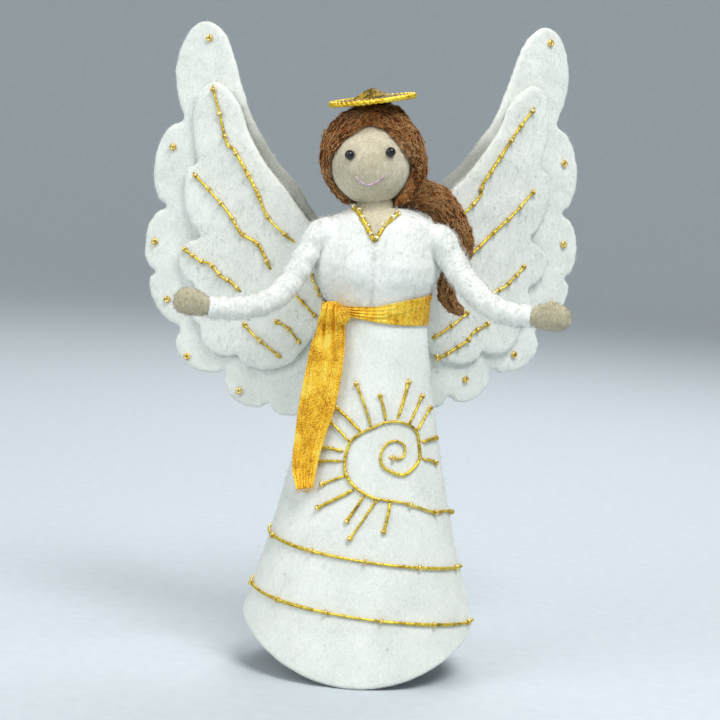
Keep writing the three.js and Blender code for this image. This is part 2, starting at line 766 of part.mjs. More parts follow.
function necklineTrim() {
  const lift = cordRadius + trimGap;
  const top = bodiceTop - trimDrop;
  const rows = 4;
  const edge = [];
  for (let row = -rows; row <= rows; row++) {
    const share = Math.abs(row) / rows;
    const side = necklineShift + Math.sign(row) * (necklineHalfWidth + cordRadius) * share;
    const height = THREE.MathUtils.lerp(bodiceTop - necklineDepth - cordRadius, top, share);
    edge.push(onBodice(side, height, lift));
  }
  const beads = trimBeadShares.map((share) => distanceAlong(edge, edge[rows * (1 + share)]));
  return beadedCord(edge, beads, (place) => new THREE.Vector3(place.x, -bodiceHalfWidth, 0),
    trimStep);
}

// The sash's inner half-width and half-depth, clear of the skirt's edge and of the bodice above it.
function sashInside() {
  const low = (skirtTopHeight - sashBottom) / skirtSideLength;
  const [bodiceWidth, bodiceDepth] = bodiceRow(sashTop + sashSideRise);
  return [
    Math.max(skirtHalfWidth(low), bodiceWidth) + sashGap,
    Math.max(skirtHalfDepth(low), bodiceDepth) + sashGap,
  ];
}

// The ribbon around the waist, gathered at its knot and wider on the side away from it.
function sash() {
  const sides = 40;
  const [halfWidth, halfDepth] = sashInside();
  const wall = (lift, heightOf) => Array.from({ length: sides }, (_, side) => {
    const turn = turned(side / sides);
    return new THREE.Vector3(
      (halfWidth + lift) * Math.sin(turn), -(halfDepth + lift) * Math.cos(turn), heightOf(turn),
    );
  });
  const low = (turn) => sashBottom + sashGather * Math.max(Math.cos(turn - knotTurn), 0) ** 3;
  const high = (turn) => sashTop + sashSideRise * Math.max(Math.sin(turn), 0);
  return skin([
    wall(sashRibbon, low), wall(sashRibbon, high), wall(0, high), wall(0, low),
  ], true);
}

function knotPlace() {
  const [halfWidth, halfDepth] = sashInside();
  const lift = sashRibbon + clearance + knotHalfDepth;
  return new THREE.Vector3(
    (halfWidth + lift) * Math.sin(knotTurn), -(halfDepth + lift) * Math.cos(knotTurn), knotHeight,
  );
}

// The ribbon's knot: a rounded square lump, drawn in at its middle.
function knot() {
  const rows = 7;
  const sides = 20;
  const rings = Array.from({ length: rows }, (_, row) => {
    const up = row / (rows - 1) * 2 - 1;
    const waist = THREE.MathUtils.lerp(knotWaistShare, 1, up * up);
    const width = Math.max(1 - up ** 4, 0) ** 0.25 * waist + knotEndShare;
    return Array.from({ length: sides }, (_, side) => {
      const turn = turned(side / sides);
      const square = (value) => Math.sign(value) * Math.sqrt(Math.abs(value));
      return new THREE.Vector3(
        knotHalfWidth * width * square(Math.cos(turn)),
        knotHalfDepth * width * square(Math.sin(turn)),
        knotHalfHeight * up,
      );
    });
  });
  const place = knotPlace();
  const [halfWidth, halfDepth] = sashInside();
  const facing = Math.atan2(Math.sin(knotTurn) * halfDepth, Math.cos(knotTurn) * halfWidth);
  return skin(rings).rotateZ(facing).translate(place.x, place.y, place.z);
}

// The ribbon's loose end, which hangs from the knot with pleats that open towards its end.
function sashTail() {
  const rows = 11;
  const columns = 12;
  const top = knotPlace();
  const start = top.z - knotHalfHeight - clearance;
  const yaw = turned(tailYawShare);
  const across = new THREE.Vector3(Math.cos(yaw), -Math.sin(yaw), 0);
  const out = new THREE.Vector3(-Math.sin(yaw), -Math.cos(yaw), 0);
  const rings = Array.from({ length: rows + 1 }, (_, row) => {
    const share = row / rows;
    const height = start - tailLength * share;
    const width = tailWidth * interpolate(tailWidthShares, share);
    const centre = new THREE.Vector3(
      top.x + tailLength * interpolate(tailDriftShares, share), 0, height,
    );
    const pleat = tailPleatDepth * (1 - share);
    const line = Array.from({ length: columns + 1 }, (_, column) => {
      const place = column / columns - 0.5;
      const fold = pleat * Math.cos(turned(place * tailPleatCount));
      return centre.clone().addScaledVector(across, place * width).addScaledVector(out, fold);
    });
    const gap = tailThickness / 2 + beadRadius * 2 + tailGap;
    const shifts = line.map((point) => {
      const front = Math.abs(point.x) < skirtHalfWidth(1)
        ? onSkirt(point.x, Math.min(height, skirtTopHeight), gap).y : 0;
      return front - point.y;
    });
    const shift = Math.min(...shifts, row === 0 ? top.y : 0);
    const half = tailThickness / 2;
    const front = line.map((point) => point.clone().addScaledVector(out, half));
    const back = line.map((point) => point.clone().addScaledVector(out, -half)).reverse();
    return [...front, ...back].map((point) => point.setY(point.y + shift));
  });
  return skin(rings);
}

function skirtOutward(place) {
  return new THREE.Vector3(place.x, place.y / hemDepthShare, 0);
}

function sun() {
  const lift = cordRadius + cordGap;
  const place = ([side, height]) => onSkirt(side, height, lift);
  const spiral = sunRoute.map(place);
  const length = new THREE.CatmullRomCurve3(spiral).getLength();
  const ring = new THREE.CatmullRomCurve3(spiral).getSpacedPoints(Math.round(length / cordRadius));
  const beads = sunBeadCounts.map((count) => distanceAlong(spiral, spiral[count]));
  let solid = toSolid(beadedCord(spiral, beads, skirtOutward, sunStep));
  for (const [side, height, outerSide, outerHeight] of sunRays) {
    const outer = place([outerSide, outerHeight]);
    const gaps = ring.map((point) => point.distanceTo(place([side, height])));
    const inner = ring[gaps.indexOf(Math.min(...gaps))];
    const middle = place([(side + outerSide) / 2, (height + outerHeight) / 2]);
    const ray = withBeadRoom([outer, middle, inner]);
    solid = solid.add(toSolid(beadedCord(ray, [beadRadius], skirtOutward, rayStep)));
  }
  return toGeometry(solid);
}

// The cord that winds around the skirt from the sun's tail down to the hem.
function skirtSpiral() {
  const lift = cordRadius + cordGap;
  const around = turned(spiralTurnCount) * skirtHalfWidth(spiralMiddleShare);
  const steps = Math.round(around / spiralStep);
  const route = Array.from({ length: steps + 1 }, (_, step) => {
    const turns = spiralTurnCount * step / steps;
    const turn = turned(turns + 0.25);
    const share = (skirtTopHeight - spiralStart + spiralPitch * turns) / skirtLength(turn);
    return skirtPoint(turn, share, lift);
  });
  const count = Math.round(around / beadSpacing);
  const length = new THREE.CatmullRomCurve3(route).getLength();
  const beads = Array.from({ length: count }, (_, index) => length * (index + 0.5) / count);
  return beadedCord(route, beads, skirtOutward, spiralStep);
}

function wingPoint([across, up]) {
  return new THREE.Vector2(wingReach * across, wingFoot + wingHeight * up);
}

// A wing layer's outline: its upper edge, then its round feathers, then back to the root.
function wingOutline(edgeShares, featherShares, rootShare) {
  const edge = edgeShares.map(wingPoint);
  const outline = new THREE.Shape().moveTo(edge[0].x, edge[0].y).splineThru(edge.slice(1));
  let start = edge[edge.length - 1];
  for (const [tipAcross, tipUp, notchAcross, notchUp] of featherShares) {
    const tip = wingPoint([tipAcross, tipUp]);
    const end = wingPoint([notchAcross, notchUp]);
    const bulge = tip.sub(start.clone().add(end).divideScalar(2)).multiplyScalar(featherHandleShare);
    outline.bezierCurveTo(
      start.x + bulge.x, start.y + bulge.y, end.x + bulge.x, end.y + bulge.y, end.x, end.y,
    );
    start = end;
  }
  const root = wingPoint(rootShare);
  return outline.lineTo(root.x, root.y).closePath();
}

function wingBackLayer() {
  return slab(wingOutline(backEdgeShares, backFeatherShares, wingRootShares.back), 0, wingFelt, 6);
}

function wingFrontLayer() {
  const outline = wingOutline(frontEdgeShares, frontFeatherShares, wingRootShares.front);
  return slab(outline, -clearance - wingFelt, -clearance, 6);
}

function wingCord(route) {
  const front = -clearance * 2 - wingFelt - cordRadius;
  const line = route.map(([across, up]) => new THREE.Vector3(across, front, up));
  return beadedCord(withBeadRoom(line), [beadRadius], () => new THREE.Vector3(0, -1, 0));
}

function mirrored(geometry) {
  const copy = (geometry.index ? geometry : mergeVertices(geometry)).clone().scale(-1, 1, 1);
  return facingOut(copy);
}

const angel = new THREE.Group();

function addPiece(parent, name, geometry, material) {
  const piece = geometry.clone();
  piece.deleteAttribute('uv');
  piece.computeVertexNormals();
  const mesh = new THREE.Mesh(piece, material());
  mesh.name = name;
  parent.add(mesh);
}

function addBody() {
  addPiece(angel, 'skirt', skirt(), feltWhite);
  addPiece(angel, 'bodice', bodice(), woolWhite);
  addPiece(angel, 'neck', neck(), skinFelt);
  addPiece(angel, 'neck_wire', cord(neckWireRoute(), wireRadius, wireStep), steelWire);
  addPiece(angel, 'shoulder_wire', cord(shoulderWireRoute(-clearance), wireRadius), steelWire);
  addPiece(angel, 'neckline_trim', necklineTrim(), goldCord);
}

function addHead() {
  addPiece(angel, 'head', head(), skinFelt);
  addPiece(angel, 'left_eye', ball(eyePlace(-1), eyeRadius, 10), blackGlass);
  addPiece(angel, 'right_eye', ball(eyePlace(1), eyeRadius, 10), blackGlass);
  addPiece(angel, 'smile_stitch', smile(), sewingThread);
  addPiece(angel, 'hair', hair(), hairWool);
  addPiece(angel, 'ponytail', ponytail(), hairWool);
  addPiece(angel, 'halo', halo(), goldCord);
}

function addSash() {
  addPiece(angel, 'waist_sash', sash(), sashGold);
  addPiece(angel, 'sash_knot', knot(), sashGold);
  addPiece(angel, 'sash_tail', sashTail(), sashGold);
}

function addEmbroidery() {
  addPiece(angel, 'sun_embroidery', sun(), goldCord);
  addPiece(angel, 'skirt_spiral_cord', skirtSpiral(), goldCord);
}

function addArm(name) {
  addPiece(angel, `${name}_sleeve`, sleeve(name), woolWhite);
  addPiece(angel, `${name}_arm_wire`, armWire(name), steelWire);
  addPiece(angel, `${name}_hand`, hand(name), skinFelt);
}

// A wing is drawn in a plane, then swept back around its hinge line at the middle of the back.
function addWing(name) {
  const direction = name === 'left' ? -1 : 1;
  const wing = new THREE.Group();
  const side = (geometry) => (direction < 0 ? mirrored(geometry) : geometry);
  addPiece(wing, `${name}_wing_back_layer`, side(wingBackLayer()), feltWhite);
  addPiece(wing, `${name}_wing_front_layer`, side(wingFrontLayer()), feltWhite);
  wingCordRoutes[name].forEach((route, index) => {
    addPiece(wing, `${name}_wing_cord_${index + 1}`, side(wingCord(route)), goldCord);
  });
  edgeBeadShares[name].map(wingPoint).forEach((spot, index) => {
    const geometry = bead(new THREE.Vector3(spot.x, -clearance - beadRadius, spot.y));
    addPiece(wing, `${name}_wing_bead_${index + 1}`, side(geometry), goldBead);
  });
  const hinge = wingShift + direction * wingHingeSpacing / 2;
  const bodiceBack = bodiceHalfDepth * Math.sqrt(1 - (hinge / bodiceHalfWidth) ** 2);
  wing.position.set(hinge, bodiceBack + wingSeat, direction * wingRise);
  wing.rotation.z = direction * turned(wingSweepShares[name]);
  angel.add(wing);
}

addBody();
addHead();
addSash();
addEmbroidery();
sideNames.forEach(addArm);
sideNames.forEach(addWing);

export default angel;
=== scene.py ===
import math

import bpy
import numpy as np
from mathutils import Euler, Matrix, Vector
from mathutils.kdtree import KDTree


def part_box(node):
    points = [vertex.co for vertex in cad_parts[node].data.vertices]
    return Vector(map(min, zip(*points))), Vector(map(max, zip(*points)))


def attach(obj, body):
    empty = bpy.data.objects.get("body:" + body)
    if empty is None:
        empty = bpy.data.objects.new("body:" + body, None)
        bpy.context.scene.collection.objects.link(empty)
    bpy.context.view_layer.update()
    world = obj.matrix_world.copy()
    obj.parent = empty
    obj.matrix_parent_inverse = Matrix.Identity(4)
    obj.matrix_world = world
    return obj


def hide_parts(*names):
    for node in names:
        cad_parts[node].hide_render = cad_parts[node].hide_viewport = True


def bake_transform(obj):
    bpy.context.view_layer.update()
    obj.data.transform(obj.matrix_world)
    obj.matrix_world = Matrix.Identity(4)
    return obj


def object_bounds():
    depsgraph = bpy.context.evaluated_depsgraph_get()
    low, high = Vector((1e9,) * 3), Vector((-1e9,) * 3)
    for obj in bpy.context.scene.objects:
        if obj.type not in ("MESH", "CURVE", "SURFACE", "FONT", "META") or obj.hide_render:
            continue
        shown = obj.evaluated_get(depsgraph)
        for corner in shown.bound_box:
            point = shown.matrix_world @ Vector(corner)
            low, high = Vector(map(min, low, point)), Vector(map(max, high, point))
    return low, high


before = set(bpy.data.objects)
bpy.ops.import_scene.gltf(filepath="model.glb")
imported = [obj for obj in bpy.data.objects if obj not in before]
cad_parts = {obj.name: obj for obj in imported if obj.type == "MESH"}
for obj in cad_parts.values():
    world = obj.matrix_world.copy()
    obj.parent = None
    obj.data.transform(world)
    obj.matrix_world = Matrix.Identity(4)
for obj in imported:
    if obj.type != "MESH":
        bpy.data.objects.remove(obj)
cad_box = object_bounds()


# The camera stands in front of the angel, a little above her waist, and looks slightly down. It is
# turned a few degrees, as the photograph's was, so that she seems to lean to the right.
def added(name, make, **settings):
    """A new object of one of the ready-made kinds, named for its piece."""
    bpy.ops.object.select_all(action="DESELECT")
    make(**settings)
    made = bpy.context.object
    made.name = name
    return made


camera = added("camera", bpy.ops.object.camera_add)
looking_down = Euler((math.radians(90 - 6.1), 0, 0)).to_matrix()
leaning = Matrix.Rotation(math.radians(3.5), 3, "Z")
camera.matrix_world = Matrix.Translation((-0.0062, -1.0699, 0.1033)) @ (looking_down @ leaning).to_4x4()
camera.data.sensor_width = 36
camera.data.lens = 113.3
camera.data.clip_start = 0.05
bpy.context.scene.camera = camera


# The studio is a round sweep of pale card under a soft main lamp from the upper right, with a wide
# weak lamp at the left and one behind that draws the edge of the felt.
class Shade:
    """One output of a material's node, so that sums on shades are written as plain sums."""

    def __init__(self, finish, socket):
        self.finish = finish
        self.socket = socket

    def reckon(self, operation, other):
        return self.finish.node("Math", {"operation": operation}, {0: self, 1: other})

    def __add__(self, other):
        return self.reckon("ADD", other)

    def __mul__(self, other):
        return self.reckon("MULTIPLY", other)


class Finish:
    """A material, with a method that adds any node to it and short ones for the usual nodes."""

    def __init__(self, name):
        self.material = bpy.data.materials.new(name)
        self.material.use_nodes = True
        self.tree = self.material.node_tree
        self.surface = self.tree.nodes["Principled BSDF"]

    def join(self, node, sockets):
        for name, value in sockets.items():
            if isinstance(value, Shade):
                self.tree.links.new(value.socket, node.inputs[name])
            else:
                node.inputs[name].default_value = value

    def node(self, kind, settings=None, sockets=None, output=0):
        made = self.tree.nodes.new(f"ShaderNode{kind}")
        for name, setting in (settings or {}).items():
            setattr(made, name, setting)
        self.join(made, sockets or {})
        return Shade(self, made.outputs[output])

    def place(self, kind="Object"):
        return self.node("TexCoord", output=kind)

    def noise(self, place, scale, detail, **more):
        return self.node("TexNoise", None, {"Vector": place, "Scale": scale, "Detail": detail, **more})

    def ramp(self, stops, share):
        """Colours between stops, each a share and a colour's code or its light."""
        made = self.node("ValToRGB", None, {"Fac": share})
        elements = made.socket.node.color_ramp.elements
        while len(elements) < len(stops):
            elements.new(1)
        for element, (position, colour) in zip(elements, stops):
            element.position = position
            element.color = colour if isinstance(colour, tuple) else dyed(colour)
        return made

    def mix(self, share, first, second):
        return self.node("Mix", {"data_type": "RGBA"}, {0: share, 6: first, 7: second}, output=2)

    def bump(self, height, strength, distance):
        return self.node("Bump", None, {
            "Height": height, "Strength": strength, "Distance": distance}, output="Normal")

    def looks(self, **sockets):
        """Sets the surface's own sockets, with their names in words joined by underscores."""
        self.join(self.surface, {name.replace("_", " "): value for name, value in sockets.items()})
        return self


def dyed(code):
    """A colour's red, green and blue light, from its usual six-figure code."""
    parts = [(code >> shift & 255) / 255 for shift in (16, 8, 0)]
    return (*[part / 12.92 if part < 0.04 else ((part + 0.055) / 1.055) ** 2.4 for part in parts], 1)


def mottled(name, fineness, stops, detail=2, **looks):
    """A material whose colour varies in small patches."""
    made = Finish(name)
    patches = made.noise(made.place(), fineness, detail)
    return made.looks(Base_Color=made.ramp(stops, patches), **looks)


def lamp(place, width, power):
    light = added("lamp", bpy.ops.object.light_add, type="AREA", location=place)
    light.data.size = width
    light.data.energy = power
    light.rotation_euler = (Vector((0, 0, 0.02)) - light.location).to_track_quat("-Z", "Y").to_euler()


lamp((0.45, -0.8, 1.35), 0.75, 21)
lamp((-1.2, -0.9, 0.8), 1.2, 11)
lamp((0.2, 1.1, 1.0), 0.8, 10)
sky = bpy.data.worlds.new("soft sky")
sky.use_nodes = True
sky.node_tree.nodes["Background"].inputs["Color"].default_value = (1, 0.99, 0.97, 1)
sky.node_tree.nodes["Background"].inputs["Strength"].default_value = 0.46
bpy.context.scene.world = sky
bpy.context.scene.view_settings.view_transform = "Standard"

sweep = added(
    "studio_sweep", bpy.ops.mesh.primitive_circle_add, vertices=96, radius=3.2, fill_type="NGON",
    location=(0, 0, cad_box[0].z - 0.0005))
bpy.ops.object.mode_set(mode="EDIT")
bpy.ops.mesh.extrude_region_move(TRANSFORM_OT_translate={"value": (0, 0, 2)})
bpy.ops.mesh.delete(type="ONLY_FACE")
bpy.ops.object.mode_set(mode="OBJECT")
round_corner = sweep.modifiers.new("round corner", "BEVEL")
round_corner.width = 1.2
round_corner.segments = 12
bpy.ops.object.modifier_apply(modifier="round corner")
bpy.ops.object.shade_smooth()
card = mottled("pale card", 140, [(0.3, 0xBFC9CF), (0.7, 0xC5CED4)], 4, Roughness=0.9)
sweep.data.materials.append(card.material)


# The skirt is one sheet of thick white felt, rolled into a cone that is wider than deep. Its hem
# dips at the front and the back, and its wool stands up in a fine fuzz.
top_of_skirt = 0.014
waist_half_width = 0.0236
hem_half_width = 0.0555
length_at_sides = 0.1485
dip_of_hem = 0.0235


def skirt_length(turn):
    """How far the felt reaches down from its top, at a turn from the front."""
    facing = abs(math.cos(turn))
    return length_at_sides + dip_of_hem * (facing * facing * 0.65 + facing * 0.35)


def skirt_point(turn, share):
    """A place on the felt, from the turn from the front and the share of the way down."""
    flare = share * 0.55 + share * share * 0.45
    half_width = waist_half_width + (hem_half_width - waist_half_width) * flare
    half_depth = half_width * (0.8 + 0.1 * share)
    return (half_width * math.sin(turn), -half_depth * math.cos(turn),
            top_of_skirt - share * skirt_length(turn))


def only(piece):
    bpy.ops.object.select_all(action="DESELECT")
    piece.select_set(True)
    bpy.context.view_layer.objects.active = piece


def without_doubles(piece, gap):
    only(piece)
    bpy.ops.object.mode_set(mode="EDIT")
    bpy.ops.mesh.select_all(action="SELECT")
    bpy.ops.mesh.remove_doubles(threshold=gap)
    bpy.ops.object.mode_set(mode="OBJECT")


def finished(piece, **kinds):
    """Adds modifiers in turn and applies them. Each is given as kind=settings."""
    only(piece)
    for kind, settings in kinds.items():
        made = piece.modifiers.new(kind, kind.rstrip("_0123456789"))
        for name, value in settings.items():
            setattr(made, name, value)
        bpy.ops.object.modifier_apply(modifier=made.name)
    bpy.ops.object.shade_smooth()
    return piece


def lumps(size):
    """A cloudy unevenness of a given size, for felt that is never quite flat."""
    texture = bpy.data.textures.new("lumps", "CLOUDS")
    texture.noise_scale = size
    return texture


def felt_finish(name, pale, shaded, fleck, fibre, nap=(1, 1, 0.3)):
    """Felted wool: cloudy colour, fibres brushed downwards or around, a few darker flecks, and a flat grey
    of painted shade where the piece's points carry it.
    """
    felt = Finish(name)
    place = felt.place()
    brushed = felt.node("Mapping", None, {"Vector": place, "Scale": nap})
    cloud = felt.noise(place, 60, 3)
    tangle = felt.noise(place, fibre, 5, Distortion=2.5)
    strands = felt.noise(brushed, fibre * 1.4, 4, Distortion=1.2)
    unevenness = cloud * 0.35 + (tangle * 0.4 + strands * 0.6) * 0.65
    specks = felt.noise(brushed, 560, 1)
    body = felt.ramp([(0.34, shaded), (0.6, pale)], unevenness)
    sparse = felt.ramp([(0.74, (0, 0, 0, 1)), (0.84, (0.6, 0.6, 0.6, 1))], specks)
    # Painted shade: points that carry the attribute read here are turned towards the flat grey below.
    painted_shade = felt.node("Attribute", {"attribute_name": "painted_edge_shade"}, output="Fac")
    colour = felt.mix(painted_shade, felt.mix(sparse, body, dyed(fleck)), dyed(0x8A8C80))
    return felt.looks(
        Base_Color=colour, Roughness=0.95, Specular_IOR_Level=0.15, Sheen_Weight=0.35,
        Sheen_Roughness=0.5, Normal=felt.bump(unevenness, 0.9, 0.001))


def sampled(piece, count, chance):
    """Places spread evenly over a piece's surface, and the way that each one faces."""
    piece.data.calc_loop_triangles()
    triangles = piece.data.loop_triangles
    corners = np.empty(len(triangles) * 3, int)
    areas = np.empty(len(triangles))
    facings = np.empty(len(triangles) * 3)
    places = np.empty(len(piece.data.vertices) * 3)
    triangles.foreach_get("vertices", corners)
    triangles.foreach_get("area", areas)
    triangles.foreach_get("normal", facings)
    piece.data.vertices.foreach_get("co", places)
    picked = chance.choice(len(triangles), count, p=areas / areas.sum())
    weights = chance.dirichlet((1, 1, 1), count)
    spots = places.reshape(-1, 3)[corners.reshape(-1, 3)[picked]]
    return (spots * weights[:, :, None]).sum(1), facings.reshape(-1, 3)[picked]


def unit(vectors):
    return vectors / np.linalg.norm(vectors, axis=-1, keepdims=True)


def tubes(name, rings):
    """Closed tubes, from an array that runs over tubes, rings, corners, and x, y and z."""
    count, rows, sides = rings.shape[:3]
    index = np.arange(count * rows * sides).reshape(count, rows, sides)
    near, far = index[:, :-1], index[:, 1:]
    walls = np.stack([near, np.roll(near, -1, 2), np.roll(far, -1, 2), far], -1).reshape(-1, 4)
    ends = np.concatenate([index[:, 0, ::-1], index[:, -1]])
    mesh = bpy.data.meshes.new(name)
    mesh.from_pydata(rings.reshape(-1, 3).tolist(), [], walls.tolist() + ends.tolist())
    mesh.shade_smooth()
    piece = bpy.data.objects.new(name, mesh)
    bpy.context.collection.objects.link(piece)
    return piece


def rings_along(route, outward, radius, sides, twist=0.0):
    """Rings of points around a route. The radius may change along it and around it."""
    along = unit(np.gradient(route, axis=-2))
    up = unit(outward - along * (outward * along).sum(-1, keepdims=True))
    across = np.cross(up, along)
    angle = np.arange(sides) * 2 * np.pi / sides + np.asarray(twist)[..., None]
    spoke = across[..., None, :] * np.cos(angle)[..., None] + up[..., None, :] * np.sin(angle)[..., None]
    return route[..., None, :] + spoke * np.asarray(radius)[..., None]


def fuzz(name, piece, count, length, body, thick=1.0):
    """Fine wool fibres that lie along a felted surface and curl off it, each a thin closed spike."""
    chance = np.random.default_rng(len(name) + count)
    roots, facing = sampled(piece, count, chance)
    lean = unit(chance.normal(size=(count, 3)))
    rising = unit(facing * 0.45 + lean * 0.75)
    curl = unit(rising + chance.normal(size=(count, 3)) * 0.45)
    reach = length * chance.uniform(0.45, 1, (count, 1))
    middle = roots + rising * reach * 0.55
    route = np.stack([roots - facing * 0.0002, middle, middle + curl * reach * 0.45], 1)
    outward = np.cross(rising, unit(chance.normal(size=(count, 3))))[:, None]
    width = thick * np.array([0.00006, 0.00005, 0.00002])[None, :, None] * np.ones((count, 1, 3))
    fibres = tubes(name, rings_along(route, outward, width, 3))
    fibres.data.materials.append(piece.data.materials[0])
    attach(fibres, body)


skirt = added("felt_skirt", bpy.ops.mesh.primitive_grid_add, x_subdivisions=96, y_subdivisions=26, size=1)
for corner in skirt.data.vertices:
    corner.co = skirt_point(2 * math.pi * (corner.co.x + 0.5), 0.5 - corner.co.y)
without_doubles(skirt, 0.00001)
finished(
    skirt, SOLIDIFY={"thickness": 0.004, "offset": -1},
    BEVEL={"width": 0.0015, "segments": 3, "angle_limit": math.radians(60)},
    SUBSURF={"levels": 1}, DISPLACE={"texture": lumps(0.011), "strength": 0.0007})
white_felt = felt_finish("white felt", 0xF1F4EE, 0xD9DDD5, 0xA8A59C, 900)
skirt.data.materials.append(white_felt.material)
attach(skirt, "figure")
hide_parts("skirt")
fuzz("skirt_fuzz", skirt, 6800, 0.0022, "figure")
fuzz("skirt_long_fuzz", skirt, 4000, 0.0036, "figure", 0.8)


# The bodice is white wool, stuffed firm and needled into shape, with a full chest and a shallow
# crease down its front. The sleeves go in at its armholes and the beige neck at its V neckline.
def put_together(name, pieces):
    only(pieces[0])
    for piece in pieces:
        piece.select_set(True)
    bpy.ops.object.join()
    pieces[0].name = name
    return pieces[0]


def felted(name, node, voxel, rubs, size, strength, tufts=()):
    """A felted copy of a CAD piece: its mesh joined up, made fine and even, and rubbed smooth.
    Round tufts of wool can be needled on to it before that."""
    piece = bpy.data.objects.new(name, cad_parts[node].data.copy())
    piece.data.materials.clear()
    bpy.context.collection.objects.link(piece)
    for place, radius in tufts:
        tuft = added("tuft", bpy.ops.mesh.primitive_uv_sphere_add,
                     segments=32, ring_count=20, radius=radius, location=place)
        piece = put_together(name, [piece, tuft])
    without_doubles(piece, 0.000001)
    return finished(
        piece, REMESH={"mode": "VOXEL", "voxel_size": voxel}, SMOOTH={"factor": 0.6, "iterations": rubs},
        DISPLACE={"texture": lumps(size), "strength": strength, "mid_level": 0.5})


bodice = felted("wool_bodice", "bodice", voxel=0.0008, rubs=10, size=0.006, strength=0.001, tufts=[
    ((-0.0254, -0.0035, 0.0478), 0.0083), ((0.0268, -0.0035, 0.0476), 0.0083)])
bust = np.array([
    (13, 0, 0), (15.7, 0.3, 0), (19.4, 2, 0), (24, 3.6, 0.7), (28.7, 4.2, 1.7), (34.8, 4.2, 1.9),
    (38.1, 3.7, 1), (44.7, 2, 0), (50, 0, 0)]) / 1000
top_of_crease = 0.048
side_of_crease = -0.0026
for corner in bodice.data.vertices:
    place = corner.co
    fuller = np.interp(place.z, bust[:, 0], bust[:, 1 if place.x < 0 else 2])
    corner.co.x += math.copysign(fuller, place.x) * min(1, abs(place.x) / 0.0235) ** 2
    if place.y < 0 and place.z < top_of_crease:
        crease = math.exp(-((place.x - side_of_crease) / 0.0011) ** 2)
        corner.co.y += 0.0016 * crease * min(1, (top_of_crease - place.z) / 0.01)
white_wool = felt_finish("white wool", 0xF4F6F1, 0xDEE1DA, 0xA9A39A, 700)
bodice.data.materials.append(white_wool.material)
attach(bodice, "figure")
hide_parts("bodice")
fuzz("bodice_fuzz", bodice, 7000, 0.0028, "figure")


# The neck is a column of beige wool, let into the V of the bodice. A gold cord and small glass
# beads are sewn along the edge of the V.
skin = felt_finish("beige wool", 0xD8CFB6, 0xA89E80, 0x7E7358, 620, (1, 1, 0.22))
neck = felted("wool_neck", "neck", voxel=0.0006, rubs=12, size=0.003, strength=0.0003, tufts=[
    ((-0.0034, -0.0002, 0.0622), 0.0090)])
neck.data.materials.append(skin.material)
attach(neck, "figure")
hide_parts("neck")


def run_through(points, step):
    """Evenly spaced places on a smooth line through the given ones."""
    points = np.array(points, float)
    knots = np.vstack([2 * points[0] - points[1], points, 2 * points[-1] - points[-2]])
    share = np.linspace(0, 1, 16, endpoint=False)[:, None]
    bends = [
        (2 * b + (c - a) * share + (2 * a - 5 * b + 4 * c - d) * share ** 2
         + (3 * b - a - 3 * c + d) * share ** 3) / 2
        for a, b, c, d in zip(knots, knots[1:], knots[2:], knots[3:])]
    line = np.vstack([*bends, points[-1:]])
    travelled = np.concatenate([[0], np.cumsum(np.linalg.norm(np.diff(line, axis=0), axis=1))])
    stops = np.linspace(0, travelled[-1], max(3, round(travelled[-1] / step) + 1))
    return np.stack([np.interp(stops, travelled, line[:, axis]) for axis in range(3)], -1)


def laid_on(surface, route, height):
    """A route laid on a piece's surface at a height above it, and the way the surface faces there."""
    found = [surface.closest_point_on_mesh(Vector(place)) for place in route]
    facing = np.array([hit[2] for hit in found])
    padding = np.pad(facing, ((3, 3), (0, 0)), mode="edge")
    facing = unit(sum(padding[shift:shift + len(facing)] for shift in range(7)))
    return np.array([hit[1] for hit in found]) + facing * np.asarray(height)[..., None], facing


def gold_finish(name, bright, dull, dark, size, middle=0.46, rough=0.24):
    """Metal-wrapped thread: gold that turns from bright to dull as the thread turns."""
    gold = Finish(name)
    place = gold.place()
    glint = gold.noise(place, size, 3)
    patch = gold.noise(place, 210, 2)
    colour = gold.ramp([(middle - 0.12, dark), (middle, dull), (middle + 0.13, bright)],
                       glint * 0.5 + patch * 0.5)
    return gold.looks(Base_Color=colour, Metallic=0.65, Roughness=glint * 0.3 + rough,
                      Normal=gold.bump(glint, 0.4, 0.0002))


gold_cord = gold_finish("gold cord", 0xFBE458, 0xD3B132, 0x6B5A18, 1300)
bead_glass = mottled(
    "gold glass bead", 600, [(0.3, 0x9A7622), (0.5, 0xE2BE48), (0.75, 0xFFF2B0)],
    Metallic=0.45, Roughness=0.14, Coat_Weight=1.0, Coat_Roughness=0.05)
pale_glass = mottled(
    "pale glass bead", 700, [(0.35, 0xCDB06A), (0.5, 0xF3E6B8), (0.65, 0xFFFFF0)],
    Metallic=0.2, Roughness=0.14, Coat_Weight=1.0, Coat_Roughness=0.05)

seed_bead = added(
    "seed_bead", bpy.ops.mesh.primitive_torus_add, major_segments=14, minor_segments=8,
    major_radius=0.00085, minor_radius=0.00066)
seed_bead.data.transform(Matrix.Diagonal((1, 1, 1.25, 1)))
bpy.ops.object.shade_smooth()


def bead_at(place, along, size=1.0, glass=bead_glass):
    """A copy of the seed bead, its hole along a thread."""
    bead = bpy.data.objects.new("bead", seed_bead.data.copy())
    bead.data.materials.clear()
    bead.data.materials.append(glass.material)
    turn = Vector(along).to_track_quat("Z", "Y").to_matrix().to_4x4()
    bead.data.transform(Matrix.Translation(place) @ turn @ Matrix.Scale(size, 4))
    bpy.context.collection.objects.link(bead)
    return bead


